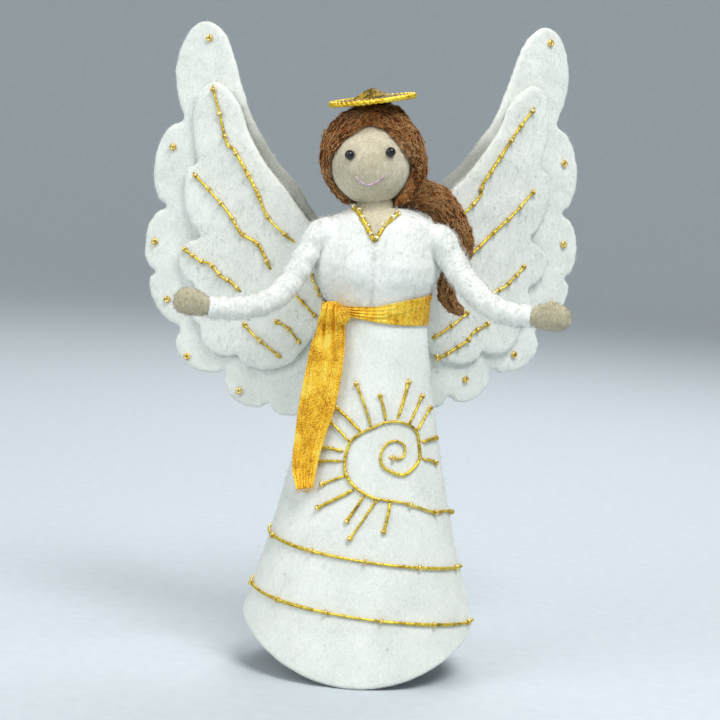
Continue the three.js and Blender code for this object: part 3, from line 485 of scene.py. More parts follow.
def sewn_cord(name, surface, runs, body, node, size=1.0, thick=1.0, glass=bead_glass):
    """Twisted gold cord sewn on a surface. Each run is its points and its beads' shares of the way."""
    step, lay_of_twist, tucked_in = 0.0006, 0.005, 0.0015
    bpy.context.view_layer.update()
    parts = []
    for points, bead_shares in runs:
        route = run_through(points, step)
        count = len(route)
        share = np.linspace(0, 1, count)
        to_end = np.minimum(share, 1 - share) * count * step
        height = 0.0008 - 0.0012 * np.clip(1 - to_end / tucked_in, 0, 1)
        line, facing = laid_on(surface, route, height)
        twist = np.arange(count) * step / lay_of_twist * 2 * np.pi
        angle = np.arange(10) * 2 * np.pi / 10
        plump = 1 + 0.16 * np.sin(share * count * step / 0.011 + len(parts) + len(name))[:, None]
        lobes = (0.00056 + 0.00022 * np.abs(np.cos(angle))[None, :]) * plump * thick
        parts.append(tubes(name, rings_along(line, facing, lobes, 10, twist)[None]))
        parts[-1].data.materials.append(gold_cord.material)
        for bead_share in bead_shares:
            spot = min(count - 2, max(1, round(bead_share * (count - 1))))
            middle = Vector(line[spot] + facing[spot] * (0.0009 * thick - 0.0005))
            parts.append(bead_at(middle, line[spot + 1] - line[spot - 1], size, glass))
    piece = put_together(name, parts)
    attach(piece, body)
    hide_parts(node)


def seen_from_front(piece, spots):
    """Where straight lines from the front first meet a piece, for places across and up."""
    bpy.context.view_layer.update()
    hits = [piece.ray_cast(Vector((side, -1, height)), Vector((0, 1, 0))) for side, height in spots]
    return [tuple(hit[1]) for hit in hits]


def copied(piece):
    copy = bpy.data.objects.new(piece.name, piece.data.copy())
    bpy.context.collection.objects.link(copy)
    return copy


chest = put_together("chest", [copied(bodice), copied(neck)])
edge_of_v = [(-0.0134, 0.0605), (-0.0100, 0.0570), (-0.0074, 0.0530), (-0.0052, 0.0497),
             (-0.0027, 0.0468), (-0.0003, 0.0497), (0.0022, 0.0536), (0.0050, 0.0568), (0.0080, 0.0598)]
sewn_cord("neckline_braid", chest, [(
    seen_from_front(chest, edge_of_v), [0.03, 0.12, 0.25, 0.36, 0.47, 0.58, 0.74, 0.87, 0.97])],
    "figure", "neckline_trim", 0.85, 1.6, pale_glass)
bpy.data.objects.remove(chest)


# The head is a ball of beige wool with two glossy bead eyes, each pulled into the wool by its
# thread, and a smile of five stitches in lilac thread.
head = felted("wool_head", "head", voxel=0.0007, rubs=5, size=0.005, strength=0.0004)
middle_of_head = Vector((-0.0067, -0.001, 0.0824))
head.data.transform(
    Matrix.Translation(middle_of_head) @ Matrix.Scale(1.022, 4) @ Matrix.Translation(-middle_of_head))
head.data.materials.append(skin.material)
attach(head, "figure")
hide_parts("head")
fuzz("head_fuzz", head, 1800, 0.0012, "figure")

black_glass = mottled(
    "black glass", 500, [(0.35, 0x08080A), (0.7, 0x1C1E24)],
    Roughness=0.22, Coat_Weight=0.35, Coat_Roughness=0.08, Specular_IOR_Level=0.35)
eye_radius = 0.00228
for name in ("left_eye", "right_eye"):
    lowest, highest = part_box(name)
    middle = (lowest + highest) / 2
    eye = added(f"{name}_bead", bpy.ops.mesh.primitive_uv_sphere_add,
                segments=28, ring_count=18, radius=eye_radius)
    bpy.ops.object.mode_set(mode="EDIT")
    bpy.ops.mesh.select_all(action="DESELECT")
    bpy.ops.object.mode_set(mode="OBJECT")
    for face in eye.data.polygons:
        face.select = abs(face.center.z) > eye_radius - 0.00006
    bpy.ops.object.mode_set(mode="EDIT")
    bpy.ops.mesh.extrude_region_move(TRANSFORM_OT_translate={"value": (0, 0, 0)})
    bpy.ops.transform.resize(value=(0.6, 0.6, 0.86))
    bpy.ops.object.mode_set(mode="OBJECT")
    bpy.ops.object.shade_smooth()
    outward = (middle - middle_of_head).normalized()
    turn = outward.to_track_quat("X", "Z").to_matrix().to_4x4()
    eye.data.transform(Matrix.Translation(middle + outward * 0.0003) @ turn)
    eye.data.materials.append(black_glass.material)
    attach(eye, "figure")
    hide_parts(name)

lilac = mottled(
    "lilac thread", 2200, [(0.35, 0xB18FA6), (0.65, 0xE0C8D4)], Roughness=0.7, Sheen_Weight=0.4)
corners_of_smile = seen_from_front(head, [
    (-0.0131, 0.0759), (-0.0112, 0.0738), (-0.0083, 0.0726), (-0.0052, 0.0731), (-0.0023, 0.0750),
    (0.0001, 0.0777)])
stitches = []
for start, end in zip(corners_of_smile, corners_of_smile[1:]):
    route = run_through([start, (np.array(start) + end) / 2, end], 0.0002)
    share = np.linspace(0, 1, len(route))
    line, facing = laid_on(head, route, 0.00045 * np.sin(share * np.pi) - 0.0001)
    lobes = 0.00042 * np.ones((len(route), 6)) + 0.00008 * np.cos(np.arange(6) * np.pi)
    stitches.append(tubes("stitch", rings_along(line, facing, lobes, 6, twist=share * 12)[None]))
    stitches[-1].data.materials.append(lilac.material)
smile = put_together("smile_stitches", stitches)
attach(smile, "figure")
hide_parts("smile_stitch")


# The hair is a thick hood of reddish brown wool, needled on from a parting above the face. Loose
# strands lie over it and sweep round the face, and at the right they run into the ponytail.
def hair_finish(name, *shades):
    hair = Finish(name)
    place = hair.place()
    streak = hair.noise(place, 520, 8, Roughness=0.65, Distortion=4)
    patch = hair.noise(place, 110, 4)
    colour = hair.ramp([(0.36 + 0.1 * step, shade) for step, shade in enumerate(shades)],
                       streak * 0.7 + patch * 0.3)
    return hair.looks(
        Base_Color=colour, Roughness=0.97, Specular_IOR_Level=0.05, Sheen_Weight=0.05,
        Sheen_Roughness=0.6, Normal=hair.bump(streak, 1.0, 0.0014))


brown_wool = hair_finish("brown wool", 0x5C2E12, 0xAA642C, 0xDC9650, 0xFFCE90)
fair_wool = hair_finish("fair brown wool", 0xB06A30, 0xEAA25E, 0xFFD49C)
dark_wool = hair_finish("dark brown wool", 0x3A1A0A, 0x6C3818, 0x9C5C2A)


def combed(name, piece, flow, wool, count, step, seed, curl=1.0):
    """Loose strands of wool, each led over the piece's surface in the way that the hair is combed.
    The more they curl, the further they wander from it and stand up."""
    steps = 7
    bpy.context.view_layer.update()
    chance = np.random.default_rng(seed)
    places, facing = sampled(piece, count, chance)
    waves = chance.normal(size=(count, 3)) * 0.3 * curl
    route, outward = [places], [facing]
    for _ in range(steps):
        ahead = unit(flow(places) + waves)
        waves += chance.normal(size=(count, 3)) * 0.2 * curl
        hits = [piece.closest_point_on_mesh(Vector(place)) for place in places + ahead * step]
        places = np.array([hit[1] for hit in hits])
        facing = np.array([hit[2] for hit in hits])
        route.append(places)
        outward.append(facing)
    route, outward = np.stack(route, 1), np.stack(outward, 1)
    rise = np.sin(np.linspace(0, np.pi, steps + 1))[None, :, None]
    lift = chance.uniform(0.0001, 0.0008, (count, 1, 1)) * curl * rise - 0.0001
    width = 0.00016 * (0.35 + 0.65 * rise) * chance.uniform(0.7, 1.3, (count, 1, 1)) * np.ones(3)
    strands = tubes(name, rings_along(route + outward * lift, outward, width, 3))
    strands.data.materials.append(wool.material)
    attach(strands, "figure")


middle_of_hair = np.array([-0.0053, 0.002, 0.0845])
root_of_ponytail = np.array([0.014, 0.010, 0.068])


def round_the_face(places):
    """Down both sides from the parting, and at the lower right towards the ponytail."""
    across = places - middle_of_hair
    side = np.where(across[:, :1] > -0.004, 1.0, -1.0)
    down = unit(np.stack([across[:, 2], 0 * across[:, 0], -across[:, 0]], -1) + 1e-9) * side
    towards = unit(root_of_ponytail - places)
    pull = np.clip((0.085 - places[:, 2:]) / 0.02, 0, 1) * np.clip(across[:, :1] / 0.02 + 0.5, 0, 1)
    return down * (1 - pull) + towards * pull


hair = felted("wool_hair", "hair", voxel=0.0008, rubs=9, size=0.009, strength=0.002)
# The CAD hair is an oval ring around the head. Here its outline and its opening follow the two
# tables of millimetres from the head's middle, by the angle around the face.
reach_of_hair = np.array([
    (-180, 23.8), (-169, 22.8), (-148, 21.1), (-130, 21), (-115, 21.8), (-60, 22.6), (-30, 26.3),
    (-3, 26.2), (15, 25.6), (31, 26.1), (46, 26), (67, 28.9), (95, 28.2), (121, 25.8), (139, 25.5),
    (157, 24.7), (175, 24), (180, 23.9)])
face_opening = np.array([
    (-180, 19.3), (-163, 19.7), (-147, 20.1), (-134, 20.3), (-118, 20.3), (-50, 20.3), (-42, 20),
    (-29, 20), (-13, 20.1), (-1, 19.8), (11, 18.4), (29, 16.9), (54, 16.4), (78, 17.7), (91, 18.3),
    (120, 17.1), (142, 17.2), (162, 17.9), (180, 19.3)])
head_side, head_depth, head_height = -6.7, -1, 82.4
cad_half_width, cad_half_height = 25.7, 26.5
cad_beside, cad_above = 1.4, 2.1
cad_opening = 18.2
squared_hollow = 437
for corner in hair.data.vertices:
    x, y, z = corner.co * 1000 - Vector((head_side, head_depth, head_height))
    out = math.hypot(x, z)
    turn = math.atan2(z, x)
    flat, steep = math.cos(turn) / cad_half_width, math.sin(turn) / cad_half_height
    squares = flat * flat + steep * steep
    slope = (flat * cad_beside / cad_half_width + steep * cad_above / cad_half_height) / squares
    room = (1 - (cad_beside / cad_half_width) ** 2 - (cad_above / cad_half_height) ** 2) / squares
    cad_reach = slope + math.sqrt(slope * slope + room)
    reach = np.interp(math.degrees(turn), *reach_of_hair.T)
    opening = np.interp(math.degrees(turn), *face_opening.T)
    if out > cad_opening:
        out = cad_opening + (out - cad_opening) * (reach - cad_opening) / (cad_reach - cad_opening)
    if y < 0:
        ease = min(max((24 - out) / 5.8, 0), 1)
        drawn_in = out + (opening - cad_opening) * ease
        y -= ease * (math.sqrt(max(squared_hollow - drawn_in ** 2, 0))
                     - math.sqrt(max(squared_hollow - out ** 2, 0)))
        out = drawn_in
        swell = 21.2 + 5 * min(max((out - opening) / 5.5, 0), 1) ** 1.1
        y = max(y, -math.sqrt(max(swell * swell - out * out, 0)))
    corner.co = Vector((out * math.cos(turn) + head_side, y + head_depth,
                        out * math.sin(turn) + head_height)) / 1000
finished(
    hair, SMOOTH={"factor": 0.5, "iterations": 3}, DISPLACE={"texture": lumps(0.0022), "strength": 0.0028},
    DISPLACE_2={"texture": lumps(0.0011), "strength": 0.0014})
hair.data.materials.append(brown_wool.material)
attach(hair, "figure")
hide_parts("hair")
combed("hair_strands", hair, round_the_face, fair_wool, count=2200, step=0.0024, seed=4)
combed("dark_hair_strands", hair, round_the_face, dark_wool, count=1900, step=0.0024, seed=9)
combed("hair_curls", hair, round_the_face, fair_wool, count=2000, step=0.0013, seed=6, curl=2.2)
fuzz("hair_fuzz", hair, 4500, 0.003, "figure", 1.2)

ponytail_route = run_through([
    (0.008, 0.010, 0.0690), (0.017, 0.011, 0.0685), (0.0235, 0.0113, 0.0668), (0.0295, 0.0118, 0.0624),
    (0.0347, 0.012, 0.0559), (0.0386, 0.012, 0.0485), (0.0383, 0.0115, 0.0395), (0.0346, 0.0115, 0.0310),
    (0.0326, 0.0115, 0.0240), (0.0350, 0.0115, 0.0182), (0.0415, 0.0115, 0.0132)], 0.0006)


def down_the_ponytail(places):
    nearest = np.linalg.norm(places[:, None] - ponytail_route[None], axis=-1).argmin(1)
    return unit(np.gradient(ponytail_route, axis=0))[nearest]


length_share = np.linspace(0, 1, len(ponytail_route))
thickness = np.interp(length_share, np.linspace(0, 1, 11), [
    0.0068, 0.0068, 0.0067, 0.0063, 0.0054, 0.0047, 0.0043, 0.0038, 0.0032, 0.0027, 0.0011])
ponytail = tubes("wool_ponytail", rings_along(
    ponytail_route, np.array([0, -1.0, 0]) * np.ones(ponytail_route.shape),
    thickness[:, None] * np.ones(48), 48)[None])
finished(
    ponytail, DISPLACE={"texture": lumps(0.0026), "strength": 0.0042},
    DISPLACE_2={"texture": lumps(0.0012), "strength": 0.0018})
ponytail.data.materials.append(brown_wool.material)
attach(ponytail, "figure")
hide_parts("ponytail")
combed("ponytail_strands", ponytail, down_the_ponytail, fair_wool, count=1100, step=0.0024, seed=5)
combed("dark_ponytail_strands", ponytail, down_the_ponytail, dark_wool, count=800, step=0.0024, seed=10)
combed("ponytail_curls", ponytail, down_the_ponytail, fair_wool, count=1000, step=0.0013, seed=7, curl=2.2)
fuzz("ponytail_fuzz", ponytail, 3000, 0.0032, "figure", 1.2)


# The halo is a disc of stiff gold braid, sewn round and round, with its middle pushed up into a
# peak and a twisted gold cord bound around its rim. It is tilted, and stitched to the hair.
disc = added(
    "braided_disc", bpy.ops.mesh.primitive_uv_sphere_add, segments=160, ring_count=110, radius=1)
disc_radius, half_thickness, braid_width = 0.0193, 0.0007, 0.0016
peak_height, peak_radius = 0.0045, 0.0095
for corner in disc.data.vertices:
    x, y, z = corner.co
    out = min(1.0, math.hypot(x, y))
    reach = 2 / math.pi * math.asin(out) if out < 1 else 1.0
    radius = disc_radius * reach
    turn = math.atan2(y, x)
    row = radius / braid_width
    plait = math.cos(row * 2 * math.pi) * 0.5 + math.cos(turn * 14 * (0.4 + reach) + row * math.pi) * 0.5
    peak = peak_height * max(0.0, 1 - math.hypot(radius, 0.0015) / peak_radius) + 0.0009 * (1 - reach)
    edge = math.sqrt(max(0.0, 1 - reach ** 8))
    relief = 0.00028 * plait * edge
    height = (peak + half_thickness * edge + relief if z > 0
              else peak * 0.9 - half_thickness * edge - relief)
    corner.co = (radius * math.cos(turn), radius * math.sin(turn), height)
bpy.ops.object.shade_smooth()
braid_gold = gold_finish("braid gold", 0xF0C626, 0x6A5810, 0x221C06, 1500, 0.52, 0.5)
disc.data.materials.append(braid_gold.material)

rim_radius, rim_steps, rim_twists = 0.0196, 400, 22
around_rim = np.linspace(0, 2 * np.pi, rim_steps) + np.pi / 2
rim_route = rim_radius * np.stack([np.cos(around_rim), np.sin(around_rim), 0 * around_rim], -1)
lobes = 0.00088 + 0.00048 * np.abs(np.cos(np.arange(12) * np.pi / 6)) * np.ones((rim_steps, 1))
rim_cord = tubes("rim_cord", rings_along(
    rim_route, np.array([0, 0, 1.0]) * np.ones((rim_steps, 1)), lobes, 12,
    np.linspace(0, 2 * np.pi * rim_twists, rim_steps))[None])
rim_gold = gold_finish("rim gold", 0xFFE24A, 0xE2B626, 0x80640F, 1300, 0.44)
rim_cord.data.materials.append(rim_gold.material)
halo = put_together("gold_halo", [disc, rim_cord])
halo.data.transform(
    Matrix.Translation((-0.0078, -0.001, 0.1118)) @ Matrix.Rotation(-0.1696, 4, "Y")
    @ Matrix.Rotation(0.0522, 4, "X"))
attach(halo, "figure")
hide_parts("halo")


# The sash is orange gold ribbon, woven with metal thread. It is gathered at its knot, spreads out
# around the waist, and its loose end hangs over the skirt in pleats, with a frayed end.
def ribbon_finish():
    ribbon = Finish("gold ribbon")
    place, cloth = ribbon.place(), ribbon.place("UV")
    sparkle = ribbon.noise(place, 1500, 3)
    shade = ribbon.noise(place, 120, 2)
    rows = ribbon.node("TexWave", {"bands_direction": "Y"}, {"Vector": cloth, "Scale": 60})
    threads = ribbon.node("TexWave", {"bands_direction": "X"}, {"Vector": cloth, "Scale": 14})
    weave = rows * 0.5 + threads * 0.5
    colour = ribbon.ramp([(0.35, 0xA5671A), (0.44, 0xDC9E1E), (0.51, 0xFFCC24), (0.65, 0xFFF07A)],
                         sparkle * 0.5 + shade * 0.4 + weave * 0.1)
    return ribbon.looks(Base_Color=colour, Metallic=0.42, Roughness=sparkle * 0.4 + 0.25,
                        Normal=ribbon.bump(weave * 0.5 + sparkle * 0.5, 0.5, 0.0003))


gold_ribbon = ribbon_finish()


def woven(name, places):
    """A strip of ribbon through rows of places, with its threads' directions kept in its UV map."""
    rows, columns = places.shape[:2]
    strip = added(name, bpy.ops.mesh.primitive_grid_add,
                  x_subdivisions=columns - 1, y_subdivisions=rows - 1, size=1)
    for corner in strip.data.vertices:
        column = round((corner.co.x + 0.5) * (columns - 1))
        row = round((0.5 - corner.co.y) * (rows - 1))
        corner.co = places[row, column]
    finished(strip, SOLIDIFY={"thickness": 0.0004, "offset": 0}, SUBSURF={"levels": 1})
    strip.data.materials.append(gold_ribbon.material)
    return strip


half_width_of_waist, half_depth_of_waist = 0.0248, 0.0200
turn_of_knot = -0.672
around = np.linspace(-np.pi, np.pi, 181)
past_knot = (around - turn_of_knot + np.pi) % (2 * np.pi) - np.pi
near = np.exp(-(past_knot / 0.72) ** 2)
across = np.linspace(0, 1, 25)
bottom = 0.008 + 0.0026 * near
top = 0.017 + 0.0055 * np.maximum(np.sin(around), 0) - 0.0014 * near
creases = (np.cos(across * 4.5 * 2 * np.pi)[:, None]
           + 0.5 * np.cos(across[:, None] * 9 * 2 * np.pi + 3 * around))
crumple = near * 0.0004 * creases
fold_line = 1 - 0.75 * np.clip(past_knot / 1.9, 0, 1)
turned_edge = 0.0006 * np.clip((fold_line - across[:, None]) / 0.05, 0, 1) * (1 - near ** 4)
lift = 0.0005 + crumple + turned_edge * np.clip((np.pi - np.abs(around)) / 0.6, 0, 1)
band = np.stack([
    (half_width_of_waist + lift) * np.sin(around), -(half_depth_of_waist + lift) * np.cos(around),
    top + (bottom - top) * across[:, None]], -1)
waist = woven("waist_ribbon", band)
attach(waist, "figure")
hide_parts("waist_sash")

faces_left = 0.5
knot = added("ribbon_knot", bpy.ops.mesh.primitive_cube_add, size=2)
finished(knot, SUBSURF={"levels": 5})
for corner in knot.data.vertices:
    x, y, z = corner.co
    fold = math.cos((z * 1.1 + x * 1.4) * 9) * 0.09 * max(0.0, -y)
    pinch = 1 - 0.2 * math.exp(-((z - x * 0.5) / 0.3) ** 2)
    corner.co = (x * 1.34 * pinch, (y * 1.3 - fold) * pinch, z * 1.34)
knot.data.transform(
    Matrix.Translation((-0.0153, -0.0217, 0.0114)) @ Matrix.Rotation(-faces_left, 4, "Z")
    @ Matrix.Rotation(0.25, 4, "Y") @ Matrix.Diagonal((0.0032, 0.0035, 0.0039, 1)))
knot.data.materials.append(gold_ribbon.material)
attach(knot, "figure")
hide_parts("sash_knot")

# Each row of the hanging end has its height, its middle, half its width and how far it is forward.
bpy.context.view_layer.update()
columns = 41
top_of_hang, length_of_hang = 0.0075, 0.0765
hung = np.array([
    (15.2, -18.6, 3.0, -6.5), (16.9, -19.4, 3.4, -4.5), (17.5, -20.2, 3.9, -2.0), (16.9, -20.6, 4.3, 0.2),
    (14.4, -20.8, 4.7, 1.2), (11, -20.8, 5.4, 0.8), (7.5, -20.8, 6.2, 0), (3, -21.1, 6.9, 0),
    (-4.3, -21.8, 7.8, 0), (-14, -22.6, 8.2, 0), (-24, -23.8, 8.3, 0), (-34, -25.3, 8.1, 0),
    (-44, -27, 6.9, 0), (-54, -28.5, 6.1, 0), (-62, -28.9, 5.5, 0), (-70, -28.1, 3.7, 0)]) / 1000
stations = np.arange(len(hung))
hang = []
for station in np.linspace(0, len(hung) - 1, 86):
    height, middle, half_width, forward = [np.interp(station, stations, line) for line in hung.T]
    down = max(0.0, (top_of_hang - height) / length_of_hang)
    place = np.linspace(-1, 1, columns)
    low_corner = 0.0011 * place * max(0.0, (down - 0.8) / 0.2)
    round_top = 0.0026 * place ** 4 * min(1, max(0.0, (height - 0.012) / 0.004))
    fan = place + 0.12 * (1 - place) * math.exp(-down / 0.1)
    pleat = 0.0012 * np.exp(-down / 0.2) * np.cos(fan * 3.5 * np.pi) + 0.0004 * np.cos(fan * 7 * np.pi + 2)
    pleat += 0.0006 * np.cos(place * 2.1 + 0.8 + 2 * down)
    side = middle + place * half_width - pleat * math.sin(faces_left)
    depth = -place * half_width * math.tan(faces_left) - pleat * math.cos(faces_left)
    front = [skirt.ray_cast(Vector((x, -1, min(height, top_of_hang))), Vector((0, 1, 0))) for x in side]
    shift = min([hit[1].y - 0.0044 - y for hit, y in zip(front, depth) if hit[0]]
                + ([-0.01996] if height > 0.0074 else []))
    hang.append(np.stack([side, depth + shift - forward, height + low_corner - round_top], -1))
tail = woven("ribbon_tail", np.array(hang))
chance = np.random.default_rng(8)
ends = np.array(hang)[-1, 1::2]
loose = np.stack([
    ends + (0, 0, 0.0006),
    ends + chance.normal(size=ends.shape) * 0.0004 + (0, -0.0002, -0.0006),
    ends + chance.normal(size=ends.shape) * 0.0008 + (-0.0004, -0.0004, -0.0014)], 1)
fringe = tubes("frayed_threads", rings_along(
    loose, np.array([0, -1.0, 0.2]) * np.ones(loose.shape), 0.00012 * np.ones((len(ends), 3, 4)), 4))
fringe.data.materials.append(gold_ribbon.material)
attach(fringe, "sash_tail")
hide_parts("sash_tail")
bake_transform(tail)


# The sun on the skirt's front is gold cord, couched down in an open spiral with a ring of short
# rays. Each ray ends in a bead. The spiral runs on into the cord that winds down to the hem.
sun_spiral = [
    (10.2, -53.1), (15.6, -53.3), (17.2, -50.2), (15.8, -46.6), (11.4, -45.4), (7.9, -47.6), (6, -52.4),
    (7.2, -57), (11.4, -59.6), (17, -60.9), (21.6, -57.8), (24.1, -53.2), (23.5, -47.3), (22.2, -42),
    (18.8, -38.4), (12.3, -36.4), (6.4, -37.3), (1.6, -39.7), (-3.3, -42.3), (-8.3, -47.1), (-10.2, -56),
    (-9, -62.5), (-4, -68), (4.2, -71.9), (11.7, -72.8), (19.1, -74.1), (26, -76.5), (32.6, -78.9),
    (38, -79.3)]
sun_rays = [
    (-4.2, -41.6, -16.3, -31.3), (1, -39.4, -7.6, -19), (7.3, -35.7, 3.8, -24.4),
    (13, -34.6, 16.9, -17.2), (18.2, -37.7, 23.8, -24), (21.7, -41.1, 27.8, -30.1),
    (25.2, -46.1, 31.7, -45.2), (25.8, -54, 32.3, -56.6), (-9.2, -46.5, -18.8, -38.1),
    (-11.7, -51.5, -22.5, -50.8), (-11.7, -56, -24.5, -58), (-9.8, -62.6, -20.5, -67.9),
    (-5.8, -68.8, -22.3, -79.2), (-0.6, -71.2, -7.9, -83.5), (5.6, -72.3, -6.3, -91.9),
    (11.7, -73.5, 9.5, -87.4)]


def on_the_skirt(spots):
    """Places on the skirt from how far they are across and up, wrapped around its sides."""
    found = []
    for side, height in spots:
        turn = 0.0
        for _ in range(12):
            share = (top_of_skirt - height / 1000) / skirt_length(turn)
            half_width = skirt_point(math.pi / 2, share)[0]
            turn = math.asin(max(-1.0, min(1.0, side / 1000 / half_width)))
        found.append(skirt_point(turn, share))
    return found


sun_runs = [(on_the_skirt(sun_spiral), [0.01, 0.862, 0.946])]
for side, height, end_side, end_height in sun_rays:
    middle = ((side + end_side) / 2 + 0.3, (height + end_height) / 2 + 0.3)
    sun_runs.append((on_the_skirt([(end_side, end_height), middle, (side, height)]), [0.06]))
sewn_cord("sun_on_the_skirt", skirt, sun_runs, "figure", "sun_embroidery")

winding = on_the_skirt(sun_spiral[-1:])
start_below_top = top_of_skirt + 0.0816
drop_per_turn = 0.0256
for turns in np.linspace(0, 2, 97):
    turn = math.pi / 2 + turns * 2 * math.pi
    winding.append(skirt_point(turn, (start_below_top + drop_per_turn * turns) / skirt_length(turn)))
beads_on_winding = 21
sewn_cord("winding_cord", skirt, [
    (winding, [(spot + 0.5) / beads_on_winding for spot in range(beads_on_winding)])],
    "figure", "skirt_spiral_cord")


# Each arm is white wool wound round and round a bent wire, thicker at the shoulder, with a beige
# wool hand pushed on at the wrist. The wool at the shoulder is needled onto the bodice.
steel = Finish("soft steel wire")
drawn = steel.noise(steel.place(), 900, 2)
steel.looks(Metallic=1.0, Roughness=drawn * 0.2 + 0.3,
            Base_Color=steel.ramp([(0.3, 0x8B8C8D), (0.7, 0xB4B5B4)], drawn))
hand_wool = felt_finish(
    "wound beige wool", 0xCBC3A8, 0x9C9477, 0x6B6149, 620, nap=(2.4, 0.4, 0.4))
arms = {
    "left": [(-28.4, -4, 48), (-35.4, -7, 35.5), (-41.7, -12, 23.5), (-49, -17, 16.5),
             (-59.5, -21, 12.6), (-70, -24, 11.8), (-78, -26.2, 12.3)],
    "right": [(28.4, -4, 48), (34.5, -7, 38.5), (43, -14, 28), (51.5, -21, 21), (61, -27.5, 17.8),
              (72, -32.6, 17.2)]}
step, ball_radius, wrist_radius, pitch, coarse_pitch = 0.0005, 0.0069, 0.0051, 0.0026, 0.0089
for side, points in arms.items():
    route = run_through(np.array(points) / 1000, step)
    inward = route[0] + unit(route[0] - route[2]) * np.arange(0.0078, 0, -step)[:, None]
    route = np.concatenate([inward, route])
    travelled = (np.arange(len(route)) - len(inward)) * step
    ball = np.sqrt(np.maximum(ball_radius ** 2 - travelled ** 2, 0.000001))
    upper_arm = {"left": 0.0060, "right": 0.0066}[side]
    limb = (upper_arm + (wrist_radius - upper_arm) * np.clip(travelled / travelled[-1], 0, 1)
            + 0.0006 * np.exp(-(travelled / 0.009) ** 2))
    limb[travelled < 0] = 0
    plain = np.maximum(ball * (travelled < 0.006), limb)
    plain = np.convolve(np.pad(plain, 4, mode="edge"), np.ones(9) / 9, mode="valid")
    angle = np.arange(36) * 2 * np.pi / 36
    chance = np.random.default_rng(len(side))
    drift = np.cumsum(chance.normal(size=len(route))) * 0.12
    turn_of_wool = travelled[:, None] / pitch * 2 * np.pi - angle + drift[:, None]
    wound = np.clip(travelled / 0.02, 0, 1)[:, None] * 0.0001 * np.cos(turn_of_wool)
    coarse = 0.00028 * np.cos(travelled[:, None] / coarse_pitch * 2 * np.pi - angle + 2 * drift[:, None])
    radius = np.maximum(plain[:, None] + wound + coarse * (travelled[:, None] > 0), 0.0006)
    radius[-3:] *= np.array([0.98, 0.94, 0.86])[:, None]
    forward = np.array([0, -1.0, 0]) * np.ones((len(route), 1))
    sleeve = tubes(f"{side}_wound_sleeve", rings_along(route, forward, radius, 36)[None])
    finished(sleeve, DISPLACE={"texture": lumps(0.005), "strength": 0.0005})
    sleeve.data.materials.append(white_wool.material)
    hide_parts(f"{side}_sleeve")
    fuzz(f"{side}_sleeve_fuzz", sleeve, 4200, 0.0026, f"{side}_arm")
    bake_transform(sleeve)

    hand = felted(f"{side}_wool_hand", f"{side}_hand", voxel=0.0005, rubs=16, size=0.003, strength=0.0006)
    cuff = min(abs(corner.co.x) for corner in hand.data.vertices)
    wrist = np.mean([corner.co for corner in hand.data.vertices if abs(corner.co.x) < cuff + 0.003], 0)
    for corner in hand.data.vertices:
        x, y, z = corner.co
        slim = 1 - 0.2 * min(max((cuff + 0.0045 - abs(x)) / 0.0035, 0), 1)
        if side == "left":
            x += 0.0022 * min(max((abs(x) - 0.080) / 0.016, 0), 1)
        corner.co = (x, wrist[1] + (y - wrist[1]) * slim, wrist[2] + (z - wrist[2]) * slim)
    hand.data.materials.append(hand_wool.material)
    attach(hand, f"{side}_arm")
    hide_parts(f"{side}_hand")
    fuzz(f"{side}_hand_fuzz", hand, 1300, 0.0018, f"{side}_arm")
for node in ("left_arm_wire", "right_arm_wire", "neck_wire", "shoulder_wire"):
    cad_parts[node].data.materials[0] = steel.material


# Each wing is cut from two layers of thick white felt with scalloped feathers, the smaller one
# sewn in front. Gold cords with beads are couched along its feathers, and beads dot its edge.
# Places are in millimetres outwards and upwards on the wing while it is flat.
wing_cords = {
    "left": [
        [(79.9, 118.4), (76.2, 107.3), (70.3, 90), (66.6, 87.7), (54.3, 69.2), (46.5, 55.5), (33, 45.1)],
        [(87.5, 75), (78.8, 67.5), (67.2, 56.3), (60.7, 47.6), (51.3, 42.4), (44.4, 31.2)],
        [(91, 38), (81.1, 32.3), (76.1, 31.3), (69.3, 25.3), (65, 23.6), (59.5, 19.1)],
        [(56.7, 3.3), (49.3, -3), (36.3, -11.4)],
        [(40.1, 6), (33.7, 3.3), (27, -3.7)],
        [(34, 22.4), (28, 17.5), (19.5, 9.9)],
        [(25.4, 33.8), (21.9, 28.2), (19.6, 23.6), (17.8, 19.8)]],
    "right": [
        [(79.5, 109.5), (70.9, 98.7), (60.7, 83.4), (51.9, 70.2), (51.1, 65.1), (43.2, 56.5), (37.6, 49.8)],
        [(83, 69.1), (70.5, 56.1), (58.4, 45.4), (49.2, 36.8), (43, 30.3)],
        [(79.9, 31), (69.5, 21), (64.3, 18.3), (59.3, 14.8)],
        [(61.5, 2.3), (52.3, -2.6), (48.8, -6.9), (37.3, -13.7), (30.5, -18.9)],
        [(48.8, 7.4), (36.4, -1.4), (29.2, -5.4)]]}
edge_beads = {
    "left": [(84.2, 140.9), (100.5, 87), (107.6, 39.8), (99.3, 11.6), (87, -15.7), (58.5, -30.3)],
    "right": [(88.4, 141.9), (101.6, 82.8), (104.5, 42.2), (99.8, 11.6), (79.2, -13.9), (52, -26.5)]}


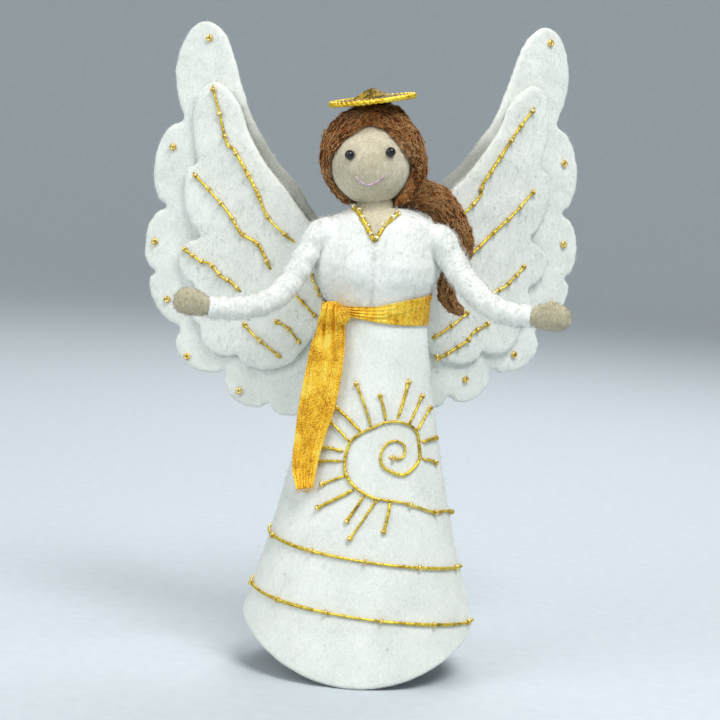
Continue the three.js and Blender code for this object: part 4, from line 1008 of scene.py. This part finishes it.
def paint_shade_on_inner_edge(felt, inward):
    """Paints shade on the felt: a grey band along the lower part of the wing's inner edge, fading out
    upwards.
    """
    width, fade, top, fade_upwards = 0.006, 0.002, 0.112, 0.025
    edge = [corner.co for corner in felt.data.vertices if corner.normal.dot(inward) > 0.75]
    nearest = KDTree(len(edge))
    for number, place in enumerate(edge):
        nearest.insert(place, number)
    nearest.balance()
    painted_shade = felt.data.attributes.new("painted_edge_shade", "FLOAT", "POINT")
    painted_shade.data.foreach_set("value", [
        min(0.8, max(0.0, (width - nearest.find(corner.co)[2]) / fade))
        * min(1, max(0.0, (top - corner.co.z) / fade_upwards)) for corner in felt.data.vertices])


for side, way, sweep, hinge in (
        ("left", -1, 18, (-0.009, 0.021068, -0.0038)), ("right", 1, 29, (0.001, 0.022137, 0.0038))):
    swept = Matrix.Translation(hinge) @ Matrix.Rotation(math.radians(way * sweep), 4, "Z")
    layers = {}
    for layer, rubs in (("back", 13), ("front", 28)):
        felt = felted(f"{side}_{layer}_wing_felt", f"{side}_wing_{layer}_layer",
                      voxel=0.0011, rubs=rubs, size=0.012, strength=0.0012)
        # The back layer gets a band of painted shade along its inner edge.
        if layer == "back":
            paint_shade_on_inner_edge(felt, swept.to_3x3() @ Vector((-0.9 * way, 0, 0.43)))
        felt.data.materials.append(white_felt.material)
        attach(felt, f"{side}_wing")
        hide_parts(f"{side}_wing_{layer}_layer")
        fuzz(f"{side}_{layer}_wing_fuzz", felt, 6500, 0.0026, f"{side}_wing")
        layers[layer] = felt
    for number, points in enumerate(wing_cords[side], 1):
        route = [swept @ Vector((way * out / 1000, -0.0046, up / 1000)) for out, up in points]
        spots = np.linspace(0.03, 0.93, len(points) + (1 if len(points) > 3 else 0))
        sewn_cord(f"{side}_wing_gold_{number}", layers["front"], [(route, spots)], f"{side}_wing",
                  f"{side}_wing_cord_{number}")
    for number, (out, up) in enumerate(edge_beads[side], 1):
        place = swept @ Vector((way * out / 1000, -0.002, up / 1000))
        line, facing = laid_on(layers["back"], [place], 0.0007)
        bead = bead_at(Vector(line[0]), facing[0], 1.2)
        bead.name = f"{side}_edge_bead_{number}"
        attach(bead, f"{side}_wing")
        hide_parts(f"{side}_wing_bead_{number}")
bpy.data.objects.remove(seed_bead)
